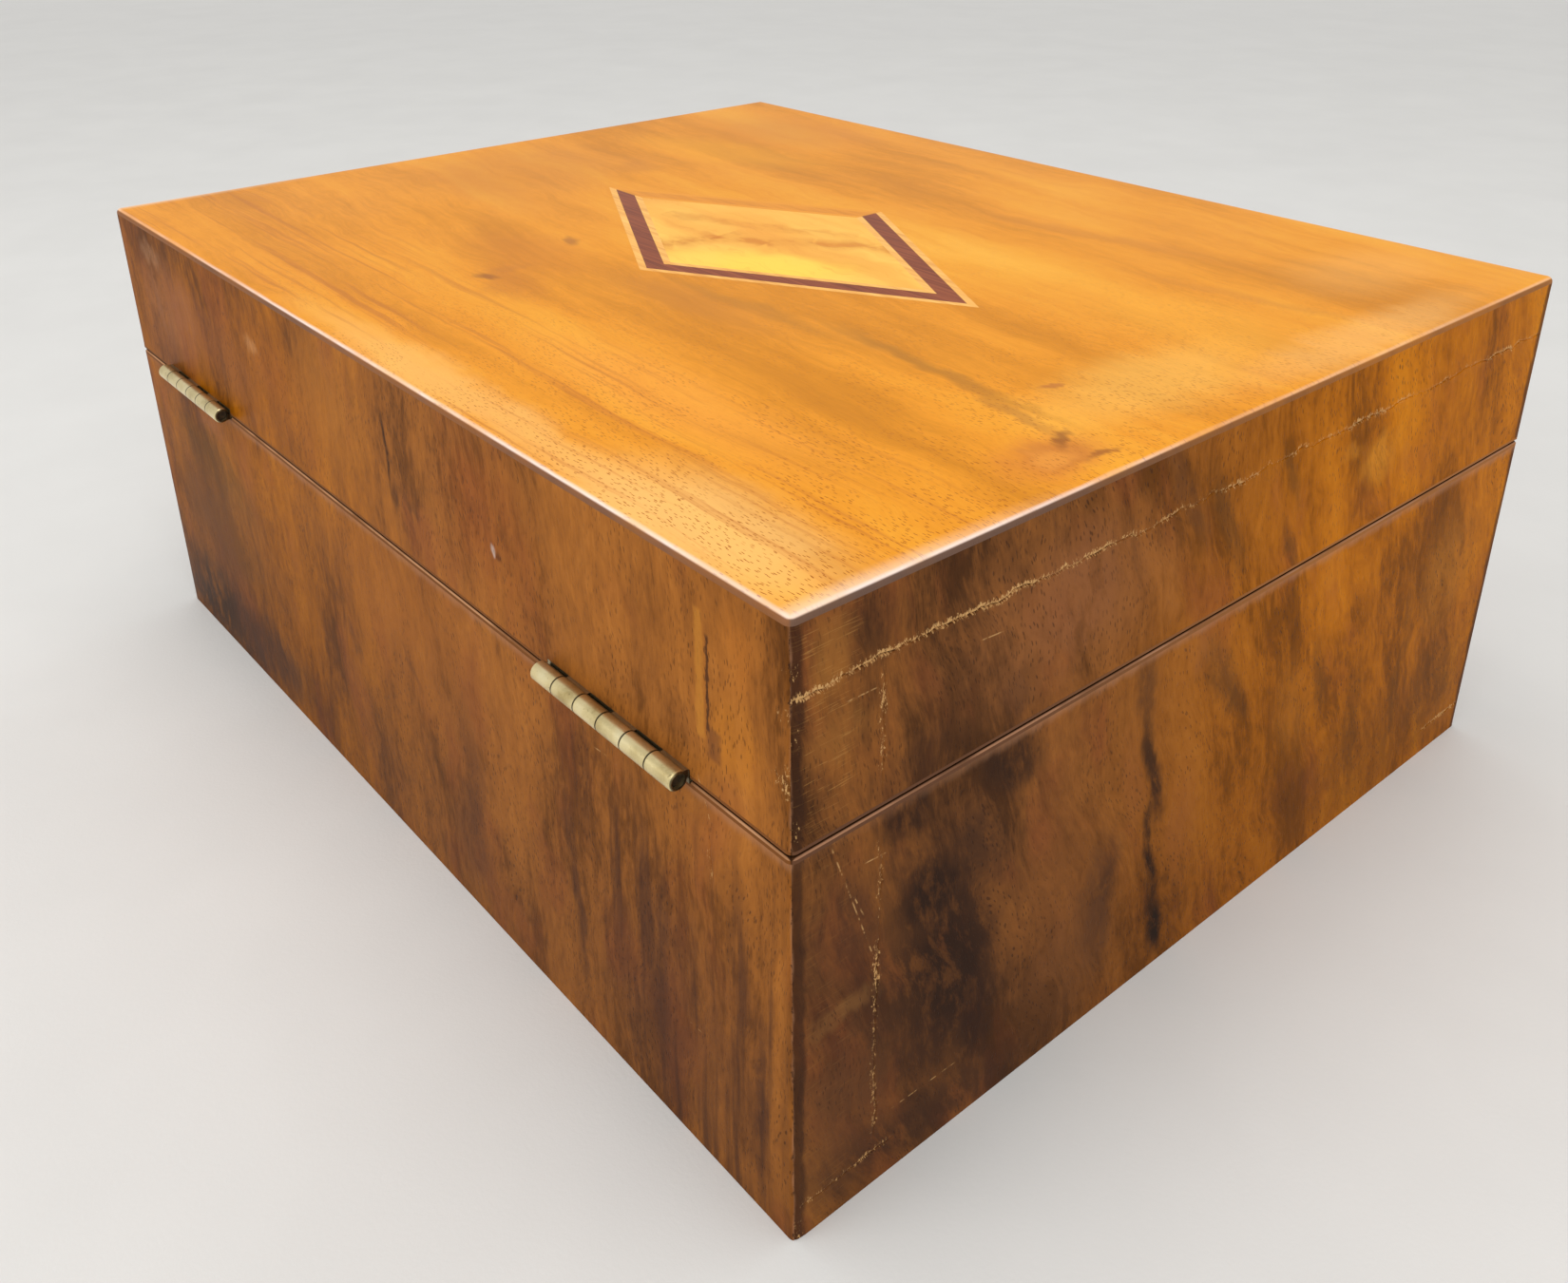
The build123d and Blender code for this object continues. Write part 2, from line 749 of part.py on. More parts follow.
make_base_boards()
make_lid_boards()
make_side_veneers()
make_rim_veneers()
make_top()
make_linings()
make_hinges()
make_lock()
make_link_plate()
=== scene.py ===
"""The looks of the antique glove box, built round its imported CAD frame.

Sizes are millimetres in the row frame: +X along the hinges, +Y the back, +Z up. Meshes are in metres.
Colours are as they look on screen, from 0 to 255, and are made linear on their way to a shader.
"""

import math
from collections import namedtuple

import bmesh
import bpy
import numpy as np
from mathutils import Matrix, Vector, noise


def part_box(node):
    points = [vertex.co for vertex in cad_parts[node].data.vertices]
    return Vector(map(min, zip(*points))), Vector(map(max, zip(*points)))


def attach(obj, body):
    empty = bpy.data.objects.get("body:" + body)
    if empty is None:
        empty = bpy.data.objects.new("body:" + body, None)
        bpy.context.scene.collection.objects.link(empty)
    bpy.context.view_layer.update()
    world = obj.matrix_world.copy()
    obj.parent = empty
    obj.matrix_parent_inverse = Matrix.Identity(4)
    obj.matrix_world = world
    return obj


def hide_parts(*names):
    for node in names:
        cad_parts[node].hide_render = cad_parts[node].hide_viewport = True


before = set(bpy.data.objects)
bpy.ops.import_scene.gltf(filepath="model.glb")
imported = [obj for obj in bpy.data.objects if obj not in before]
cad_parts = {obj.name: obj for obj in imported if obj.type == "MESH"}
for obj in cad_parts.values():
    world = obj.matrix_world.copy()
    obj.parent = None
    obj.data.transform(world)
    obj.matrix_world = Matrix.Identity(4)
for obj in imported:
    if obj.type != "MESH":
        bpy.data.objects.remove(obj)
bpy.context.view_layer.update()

MM = 0.001


def low(node):
    """The lowest corner of a CAD node, in millimetres."""
    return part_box(node)[0] / MM


def high(node):
    """The highest corner of a CAD node, in millimetres."""
    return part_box(node)[1] / MM


# ---- sizes read from the frame

HALF_X = high("lid_top_veneer").x
HALF_Y = high("lid_top_veneer").y
TOP = high("lid_top_veneer").z
TOP_VENEER_FOOT = low("lid_top_veneer").z
VENEER = TOP - TOP_VENEER_FOOT
BASE_RIM = high("base_rim_veneer").z
LID_RIM = low("lid_rim_veneer").z
# The foot and the top of the side veneers on each body
SIDE_VENEERS = {
    "base": (0.0, high("base_left_veneer").z),
    "lid": (low("lid_left_veneer").z, TOP_VENEER_FOOT),
}
HINGE_LENGTH = high("hinge_left_base_leaf").x - low("hinge_left_base_leaf").x
KNUCKLES = 6
BARREL_RADIUS = (high("hinge_left_lid_leaf").z - low("hinge_left_lid_leaf").z) / 2
AXIS_Y = high("hinge_left_lid_leaf").y - BARREL_RADIUS
AXIS_Z = high("hinge_left_lid_leaf").z - BARREL_RADIUS
INLAY_X = high("inlay_outer_stringing").x
INLAY_Y = high("inlay_outer_stringing").y

# Worn roundings, as the CAD has them
CORNER_ROUND = 1.4
TOP_ROUND = 1.38

# ---- camera

CAMERA_PLACE = (-280.5, 229.8, 232.5)
CAMERA_YAW = -39.9
CAMERA_PITCH = -24.66
CAMERA_ROLL = -0.51
FOCAL_PIXELS = 1490
IMAGE_WIDTH = 1650
IMAGE_HEIGHT = 1350
LENS_ROW = 480  # image row that the lens points at
SENSOR = 36.0


def make_camera():
    """The photograph's viewpoint, with the lens shifted up as far as its framing needs."""
    yaw, pitch, roll = (math.radians(angle) for angle in (CAMERA_YAW, CAMERA_PITCH, CAMERA_ROLL))
    turn = Matrix.Rotation(yaw - math.pi / 2, 4, "Z") @ Matrix.Rotation(pitch + math.pi / 2, 4, "X")
    turn = turn @ Matrix.Rotation(roll, 4, "Z")
    data = bpy.data.cameras.new("camera")
    data.sensor_width = SENSOR
    data.lens = FOCAL_PIXELS / IMAGE_WIDTH * SENSOR
    data.shift_y = (LENS_ROW - IMAGE_HEIGHT / 2) / IMAGE_WIDTH
    data.clip_start = 0.01
    camera = bpy.data.objects.new("camera", data)
    camera.matrix_world = Matrix.Translation(Vector(CAMERA_PLACE) * MM) @ turn
    bpy.context.scene.collection.objects.link(camera)
    bpy.context.scene.camera = camera


# ---- node trees


def linear(colour):
    """A screen colour as the linear one that a shader takes."""
    levels = [value / 255 for value in colour]
    return (*(v / 12.92 if v <= 0.04045 else ((v + 0.055) / 1.055) ** 2.4 for v in levels), 1.0)


class Value:
    """What a node gives at each point of a surface. Arithmetic with it adds math nodes."""

    def __init__(self, paint, socket):
        self.paint = paint
        self.socket = socket

    def __add__(self, other):
        return self.paint.math("ADD", self, other)

    def __sub__(self, other):
        return self.paint.math("SUBTRACT", self, other)

    def __rsub__(self, other):
        return self.paint.math("SUBTRACT", other, self)

    def __mul__(self, other):
        return self.paint.math("MULTIPLY", self, other)

    def __abs__(self):
        return self.paint.math("ABSOLUTE", self)

    def rise(self, start, end, first=0.0, last=1.0):
        """A smooth step from first, where this value is at start, to last, where it is at end."""
        inputs = {"Value": self, 1: start, 2: end, 3: first, 4: last}
        return self.paint.add("ShaderNodeMapRange", 0, inputs, interpolation_type="SMOOTHSTEP")


class Paint:
    """A material in the making: a colour that other colours are laid over, then a finish."""

    def __init__(self, name):
        self.material = bpy.data.materials.new(name)
        self.material.use_nodes = True
        self.tree = self.material.node_tree
        here = self.add("ShaderNodeTexCoord", "Object", {})
        self.x, self.y, self.z = (self.part(here, axis) * (1 / MM) for axis in "XYZ")
        self.colour = None

    def feed(self, socket, value):
        """Join a value to a node's input, or set the input to a constant."""
        if isinstance(value, Value):
            self.tree.links.new(value.socket, socket)
        else:
            socket.default_value = linear(value) if socket.type == "RGBA" else value

    def add(self, kind, output, inputs, **settings):
        """One more node: its settings, its inputs fed with values or constants, and one of its outputs."""
        node = self.tree.nodes.new(kind)
        for key, value in settings.items():
            setattr(node, key, value)
        for key, value in inputs.items():
            self.feed(node.inputs[key], value)
        return Value(self, node.outputs[output])

    def math(self, operation, *values):
        return self.add("ShaderNodeMath", 0, dict(enumerate(values)), operation=operation)

    def point(self, x, y, z=0.0):
        return self.add("ShaderNodeCombineXYZ", 0, {0: x, 1: y, 2: z})

    def part(self, point, axis):
        return self.add("ShaderNodeSeparateXYZ", axis, {0: point})

    def attribute(self, name):
        return self.add("ShaderNodeAttribute", "Fac", {}, attribute_name=name)

    def noise(self, x, y, z, detail=2.0, roughness=0.5):
        inputs = {"Vector": self.point(x, y, z), "Scale": 1.0, "Detail": detail, "Roughness": roughness}
        return self.add("ShaderNodeTexNoise", 0, inputs)

    def cloud(self, scale, detail=2.0, roughness=0.5):
        """Noise alike in every direction, with features of about 1 / scale millimetres."""
        return self.noise(self.x * scale, self.y * scale, self.z * scale, detail, roughness)

    def grain(self, across, along, width, length, seed, detail=2.0, roughness=0.5):
        """Noise drawn out along the grain: its features are about width by length millimetres."""
        return self.noise(across * (1 / width), along * (1 / length), seed, detail, roughness)

    def dashes(self, across, along, seed, width, length, size):
        """1 on short dashes scattered one to a cell of width by length millimetres, 0 between them."""
        place = self.point(across * (1 / width) + 10 * seed, along * (1 / length) + seed)
        inputs = {"Vector": place, "Scale": 1.0}
        cell = self.add("ShaderNodeTexVoronoi", "Distance", inputs, voronoi_dimensions="2D")
        return cell.rise(size, 0.5 * size)

    def pores(self, across, along, seed, fine, coarse):
        """Dashes of two sizes, each given as a cell's width and length and the dash's share of it."""
        small = self.dashes(across, along, seed, *fine)
        return self.math("MAXIMUM", small, self.dashes(across, along, seed + 5, *coarse))

    def seen_from(self, place, middle, angle, size=(1.0, 1.0)):
        """Where a place lies from a middle, in a frame turned by the angle and measured in that size."""
        inputs = {"Location": (*middle, 0.0), "Rotation": (0.0, 0.0, angle), "Scale": (*size, 1.0)}
        return self.add("ShaderNodeMapping", 0, {"Vector": place, **inputs}, vector_type="TEXTURE")

    def oval(self, place, mark):
        """A mark's strength inside its soft-edged oval, 0 outside it."""
        middle = (mark.across, mark.along)
        offset = self.seen_from(place, middle, math.radians(mark.lean), (mark.width, mark.length))
        reach = self.add("ShaderNodeVectorMath", "Value", {0: offset}, operation="LENGTH")
        return reach.rise(1.3, 0.3, 0.0, mark.strength)

    def line(self, place, start, end, width):
        """1 on a straight scratch between two points, 0 away from it."""
        (x0, y0), (x1, y1) = start, end
        half = math.hypot(x1 - x0, y1 - y0) / 2
        offset = self.seen_from(place, ((x0 + x1) / 2, (y0 + y1) / 2), math.atan2(y1 - y0, x1 - x0))
        run, off = (abs(self.part(offset, axis)) for axis in "XY")
        return off.rise(width, 0.3 * width) * run.rise(half + 0.6, half - 0.6)

    def mix(self, share, below, above):
        return self.add("ShaderNodeMix", 2, {0: share, 6: below, 7: above}, data_type="RGBA")

    def ramp(self, value, places, colours):
        """Colours at places between 0 and 1, blended in between."""
        ramp = self.add("ShaderNodeValToRGB", 0, {0: value})
        elements = ramp.socket.node.color_ramp.elements
        while len(elements) < len(places):
            elements.new(0.5)
        for element, place, colour in zip(elements, places, colours):
            element.position = place
            element.color = linear(colour)
        return ramp

    def lay(self, share, colour):
        """Lay a colour over what is there, as far as share says."""
        self.colour = self.mix(share, self.colour, colour)

    def finish(self, roughness, height, bump, **settings):
        """Give the shader its colour, roughness, height in millimetres, and other settings by name."""
        normal = self.add("ShaderNodeBump", 0, {"Height": height, "Strength": bump, "Distance": MM})
        settings.update(Base_Color=self.colour, Roughness=roughness, Normal=normal)
        shader = self.tree.nodes["Principled BSDF"]
        for key, value in settings.items():
            self.feed(shader.inputs[key.replace("_", " ")], value)
        return self.material


def between(share, first, second):
    """The first value where share is 0, the second where it is 1."""
    return first + share * (second - first)


# ---- wood

# A knot, cloud or stain on a face, or a patch of painted sheen: the middle of its oval, its half width and
# half length, how it leans, how strong it is at its middle, and its colour. The tables of marks below hold
# them as plain rows
Mark = namedtuple("Mark", "across along width length lean strength colour")

# A scratch or a let-in strip: from one point to another, how wide, how strong, what colour, and whether
# it breaks up
Stroke = namedtuple("Stroke", "start end width strength colour broken")

# How a face is figured: the width and length of its flames, how far they swing and lean, how long its
# streaks run, and the strength of the flames, the streaks, the fibres and the fine mottling
Figure = namedtuple("Figure", "width length swing lean run flames streaks fibres mottle")

DARK = (56, 35, 25)
BROWN = (92, 58, 36)
PALE_CHIP = (212, 166, 108)
WORN_HIGHLIGHT_PINK = (170, 122, 90)
CRACK_SHADE = (54, 33, 22)
SHADES = (0.05, 0.35, 0.48, 0.64, 0.95)  # where a walnut's five tones lie, from its darkest to its lightest
POLISH = {"Specular_IOR_Level": 0.03, "Coat_Weight": 0.02, "Coat_Roughness": 0.2}


def scratch(start, end):
    return Stroke(start, end, 0.2, 0.55, PALE_CHIP, True)


def wood(paint, across, along, seed, figure):
    """The figure of a walnut face: flames, streaks and fibres that wander together.

    Returns how light the wood is from 0 to 1, the wandered across coordinate, the place that the marks are
    measured from, and the fibres."""
    leaning = across + along * figure.lean
    drift = paint.grain(leaning, along, 60, 110, seed + 0.5) - 0.5
    curl = paint.grain(leaning, along, 16, 30, seed + 1.5) - 0.5
    wandered = leaning + drift * (2 * figure.swing) + curl * figure.swing
    flames = paint.grain(wandered, along, figure.width, figure.length, seed + 3.5) - 0.5
    streaks = paint.grain(wandered, along, 4.5, figure.run, seed + 7.5, 3.0) - 0.5
    fibres = paint.grain(wandered, along, 0.45, figure.run / 7, seed + 11.5, 3.0, 0.65) - 0.5
    mottle = paint.grain(wandered, along, 1.6, 4.5, seed + 17.5, 3.0) - 0.5
    value = flames * figure.flames + streaks * figure.streaks + 0.5
    value = value + fibres * figure.fibres + mottle * figure.mottle
    ragged = paint.grain(across, along, 2.6, 11, seed + 21.5, 3.0) - 0.5
    bend = paint.grain(across, along, 13, 16, seed + 23.5) - 0.5
    stretch = paint.grain(across, along, 3.2, 9, seed + 27.5, 3.0) - 0.5
    place = paint.point(across + ragged * 3.0 + bend * 9.0, along + stretch * 7.0 + bend * 8.0)
    return value, wandered, place, fibres


def add_marks(paint, place, marks, shown=1.0):
    """Lay knots, clouds, stains and patches of painted sheen over a face's figure, as much of them as shown
    says from spot to spot.
    """
    for mark in map(Mark._make, marks):
        paint.lay(paint.oval(place, mark) * shown, mark.colour)


def add_strokes(paint, across, along, strokes):
    """Lay a face's straight scratches and strips over its wood."""
    skips = paint.grain(across, along, 1.3, 1.3, 77.5).rise(0.42, 0.62)
    ragged = paint.grain(across, along, 0.8, 2.2, 79.5, 3.0) * 1.6 - 0.8
    straight = paint.point(across, along)
    frayed = paint.point(across + ragged, along)
    for stroke in strokes:
        place = straight if stroke.broken else frayed
        share = paint.line(place, stroke.start, stroke.end, stroke.width) * stroke.strength
        paint.lay(share * skips if stroke.broken else share, stroke.colour)


BACK_FIGURE = Figure(22.0, 50.0, 9.0, 0.0, 32.0, 0.9, 0.4, 0.3, 0.44)
END_FIGURE = Figure(19.0, 62.0, 11.0, -0.3, 40.0, 1.05, 0.3, 0.24, 0.4)
TOP_FIGURE = Figure(30.0, 150.0, 10.0, 0.06, 80.0, 1.0, 0.26, 0.2, 0.14)

NEAR_SIDE_TONES = [(70, 40, 18), (118, 70, 28), (148, 90, 38), (166, 102, 42), (194, 124, 54)]
FAR_SIDE_TONES = [(62, 30, 4), (108, 58, 4), (138, 78, 6), (162, 94, 10), (192, 118, 26)]
NEAR_END_TONES = [(46, 28, 18), (80, 49, 26), (112, 69, 35), (138, 85, 40), (170, 108, 46)]
FAR_END_TONES = [(88, 48, 4), (134, 75, 4), (170, 97, 6), (194, 114, 8), (220, 138, 18)]

BACK_MARKS = [
    (-19, 108, 1.2, 10, 0, 0.85, (52, 32, 22)),
    (-21, 99, 1.8, 4, 20, 0.6, (66, 40, 26)),
    (-28, 100, 5, 1.2, 25, 0.4, BROWN),
    (54, 113, 5, 2.5, 20, 0.6, (202, 146, 92)),
    (73, 104, 18, 10, 25, 0.45, (118, 70, 42)),
    (124, 121, 8, 4, 0, 0.25, (206, 156, 116)),
    (-137, 100, 6, 9, 0, 0.5, (196, 122, 40)),
    (-138, 117, 5, 9, 0, 0.45, (188, 114, 44)),
    (-63, 105, 0.9, 1.3, 0, 0.9, (206, 190, 180)),
    (-64.4, 104, 0.8, 1.3, 0, 0.9, DARK),
    (-38, 45.5, 0.7, 0.9, 0, 0.8, DARK),
    (-41, 40, 5, 26, 0, 0.55, (86, 52, 36)),
    (-37, 20, 9, 14, 0, 0.4, (92, 58, 42)),
    (16, 48, 3.5, 1.5, 55, 0.5, BROWN),
    (17, 46, 1.4, 4, -15, 0.5, BROWN),
    (-17, 55, 1.2, 7, -35, 0.5, BROWN),
    (-12, 52, 1.0, 3, 0, 0.4, BROWN),
    (100, 64, 34, 12, 12, 0.6, (104, 66, 16)),
    (105, 44, 34, 14, 14, 0.55, (116, 70, 14)),
    (125, 10, 34, 18, 0, 0.85, (58, 37, 24)),
    (80, 12, 34, 13, 0, 0.7, (80, 50, 34)),
    (-83, 34, 2.2, 26, 0, 0.6, (80, 49, 34)),
    (-113, 36, 3.0, 30, 0, 0.55, (74, 46, 34)),
    (-141, 26, 2.0, 24, 0, 0.6, (72, 45, 34)),
    (100, 78, 12, 5, 0, 0.4, (150, 92, 60)),
    (12, 112, 22, 18, 0, 0.4, (176, 112, 44)),
    (100, 108, 22, 12, 10, 0.35, (138, 80, 50)),
    (-118, 30, 26, 30, 0, 0.35, (104, 64, 44)),
    (112, 44, 30, 20, 0, 0.5, (118, 68, 16)),
    (128, 92, 18, 18, 0, 0.4, (128, 76, 44)),
    (-18, 74, 40, 16, 0, 0.3, (158, 92, 34)),
    (-20, 56, 44, 22, 0, 0.35, (164, 98, 40)),
    (118, 108, 26, 14, 0, 0.35, (176, 112, 66)),
    (50, 106, 40, 20, 0, 0.3, (180, 104, 30)),
    (-60, 110, 20, 20, 0, 0.3, (160, 84, 34)),
]
END_MARKS = [
    (86, 46, 21, 36, -6, 0.7, (62, 40, 29)),
    (83, 40, 12, 26, -10, 0.8, (46, 31, 24)),
    (25, 43, 1.6, 7, -10, 0.7, (60, 39, 26)),
    (30, 78, 3.5, 12, -14, 0.55, (82, 52, 32)),
    (108, 40, 12, 50, 0, 0.35, (76, 49, 34)),
    (89, 62, 9, 6, 0, 0.8, (44, 30, 24)),
    (95, 82, 6, 6, 0, 0.75, (50, 33, 25)),
    (69, 80, 9, 7, 25, 0.75, (50, 33, 25)),
    (76, 66, 6, 9, -20, 0.6, (66, 43, 30)),
    (74, 22, 5, 14, 10, 0.7, (52, 34, 26)),
    (92, 26, 10, 8, 0, 0.5, (66, 42, 30)),
    (52, 40, 12, 22, 0, 0.45, (138, 84, 42)),
    (38, 30, 5.4, 19, 4, 0.7, (70, 45, 32)),
    (43, 40, 3, 12, 12, 0.45, (84, 54, 36)),
    (25, 56, 2.6, 17, -14, 0.8, (56, 36, 24)),
    (22, 30, 1.8, 17, -14, 0.85, (44, 29, 20)),
    (17.5, 12, 2.8, 8, -12, 0.9, (38, 26, 19)),
    (32, 58, 4, 13, -10, 0.5, (156, 94, 44)),
    (12, 36, 6, 20, -8, 0.45, (158, 94, 42)),
    (6, 72, 5, 15, -38, 0.6, (98, 61, 28)),
    (-3, 60, 2.4, 9, -40, 0.55, (80, 50, 24)),
    (14, 80, 4, 9, -35, 0.45, (164, 100, 46)),
    (-38, 50, 3, 16, -22, 0.55, (104, 62, 20)),
    (-28, 46, 8, 20, -25, 0.4, (172, 106, 34)),
    (-58, 30, 5, 22, -12, 0.45, (108, 65, 18)),
    (-78, 40, 2.6, 34, -4, 0.45, (112, 68, 20)),
    (-100, 22, 16, 16, 0, 0.55, (100, 58, 14)),
    (-95, 58, 14, 18, 0, 0.45, (184, 116, 36)),
    (86, 7, 36, 8, 6, 0.7, (66, 43, 31)),
    (-70, 14, 46, 18, 0, 0.45, (110, 62, 14)),
    (110, 48, 10, 2.6, 0, 0.55, (132, 90, 50)),
    (110, 66, 9, 9, 0, 0.4, (72, 47, 34)),
    (-48, 103, 8, 7, 0, 0.75, (208, 134, 36)),
    (-36, 108, 5, 3, 0, 0.4, (204, 130, 36)),
    (104, 122, 8, 7, 30, 0.6, (66, 42, 28)),
    (112, 120, 5, 8, 0, 0.5, (158, 104, 48)),
    (110, 104, 8, 5, 0, 0.4, (146, 96, 46)),
    (92, 92, 10, 6, 0, 0.5, (70, 44, 30)),
    (68, 94, 6, 7, 15, 0.55, (72, 46, 32)),
    (55, 108, 14, 12, 0, 0.4, (132, 82, 56)),
    (24, 118, 3, 20, -32, 0.5, (96, 60, 34)),
    (10, 108, 3, 18, -32, 0.5, (98, 62, 28)),
    (56, 106, 34, 18, 0, 0.45, (154, 98, 56)),
    (48, 20, 16, 16, 0, 0.4, (130, 82, 46)),
    (108, 24, 12, 18, 0, 0.35, (112, 72, 44)),
    (28, 100, 4, 12, -30, 0.5, (168, 104, 46)),
    (-16, 92, 2, 10, -30, 0.45, (98, 62, 24)),
    (-12, 110, 2, 10, -30, 0.4, (110, 70, 28)),
]
END_STROKES = [
    scratch((111.5, 83.7), (101.5, 54.6)),
    scratch((104.5, 66.5), (106.5, 71.0)),
    scratch((99.0, 76.5), (104.0, 76.9)),
    scratch((112.0, 110.2), (102.5, 110.0)),
    scratch((96.0, 15.6), (80.0, 15.2)),
    scratch((79.0, 108.8), (74.0, 108.4)),
]
BACK_STROKES = [
    Stroke((-128.0, 121.0), (-127.6, 97.0), 1.5, 0.75, (190, 124, 48), False),
    Stroke((-129.9, 117.0), (-129.7, 99.0), 0.5, 0.8, (62, 38, 28), False),
    Stroke((-131.4, 100.0), (-131.0, 94.0), 2.4, 0.5, (96, 58, 42), False),
    scratch((-128.0, 86.0), (-129.2, 80.6)),
    scratch((-126.5, 88.5), (-128.5, 83.5)),
    scratch((-98.0, 76.6), (-94.5, 76.3)),
    scratch((-124.0, 30.0), (-121.0, 29.8)),
]
TOP_TONES = [(182, 112, 26), (214, 136, 30), (232, 150, 38), (240, 164, 48), (252, 190, 70)]
TOP_MARKS = [
    (6, 112, 36, 34, 0, 0.4, (204, 130, 48)),
    (-82, 112, 30, 34, 0, 0.35, (220, 138, 14)),
    (50, -138, 14, 9, 0, 0.55, (212, 126, 52)),
    (50, -138, 9, 5.5, 0, 0.5, (176, 100, 46)),
    (52, -138, 6, 3.4, 0, 0.8, (232, 152, 60)),
    (43, -134, 5.0, 1.6, -30, 0.75, (134, 76, 32)),
    (42, -143, 5.0, 1.4, 15, 0.7, (146, 82, 38)),
    (40, -122, 2.0, 13, 14, 0.55, (170, 108, 44)),
    (8, -128, 34, 14, 0, 0.4, (255, 200, 100)),
    (24, -117, 2.6, 1.2, 0, 0.6, (172, 96, 50)),
    (34, -95, 2.6, 36, 4, 0.6, (166, 110, 40)),
    (38, -40, 3.2, 34, -3, 0.5, (186, 122, 42)),
    (46, -30, 8, 36, -2, 0.35, (200, 128, 50)),
    (72, 20, 2.0, 4.6, -25, 0.75, (134, 80, 44)),
    (70, 12, 7, 16, 10, 0.45, (190, 114, 42)),
    (64, 22, 7, 3, 10, 0.3, (190, 116, 50)),
    (40, 33, 2.4, 4.5, 25, 0.65, (160, 96, 44)),
    (54, 30, 14, 26, 0, 0.35, (200, 120, 44)),
    (-22, 92, 8, 10, 30, 0.35, (196, 122, 44)),
    (-92, 96, 22, 34, 0, 0.4, (208, 128, 42)),
    (28, 100, 10, 40, 6, 0.3, (204, 126, 48)),
    (-66, -55, 4.0, 46, -8, 0.4, (202, 126, 44)),
    (-52, -110, 3.0, 36, -8, 0.35, (206, 130, 48)),
    (-28, -112, 16, 34, 0, 0.35, (255, 182, 60)),
    (-55, 90, 14, 40, -10, 0.35, (246, 170, 34)),
    (84, -70, 12, 50, 0, 0.3, (252, 170, 74)),
    # Painted sheen: pale patches along the hinge edge toward the -X end
    (112, -120, 16, 34, 0, 0.55, (255, 206, 128)),
    (114, -50, 7, 80, 0, 0.45, (255, 198, 120)),
    # Painted sheen: hazy pale patches toward the front at the -X end
    (-50, -142, 46, 9, 0, 0.35, (255, 200, 124)),
    (-90, -118, 26, 16, 0, 0.25, (255, 192, 108)),
]

PANEL_TONES = [(240, 166, 66), (248, 182, 76), (252, 194, 86), (255, 206, 96)]
PANEL_MARKS = [
    (17, -18, 13, 26, -26, 0.85, (255, 216, 82)),
    (27, -2, 9, 10, 0, 0.7, (255, 212, 92)),
    (8, -46, 7, 12, 0, 0.5, (255, 208, 96)),
    (-8, 16, 12, 34, 20, 0.5, (244, 168, 62)),
]
PANEL_VEIN = [(20, 32), (13, 20), (11, 7), (-3, 4), (-12, -7), (-24, -17), (-38, -13)]
PANEL_THIN_VEIN = [(40, 4), (22, 0), (8, -6), (0, -12), (-14, -20)]
# Each vein's route, width and strength: the first is drawn twice, as a soft stain and as a narrower line
PANEL_VEINS = [(PANEL_VEIN, 8.0, 0.34), (PANEL_VEIN, 3.4, 0.5), (PANEL_THIN_VEIN, 4.0, 0.4)]


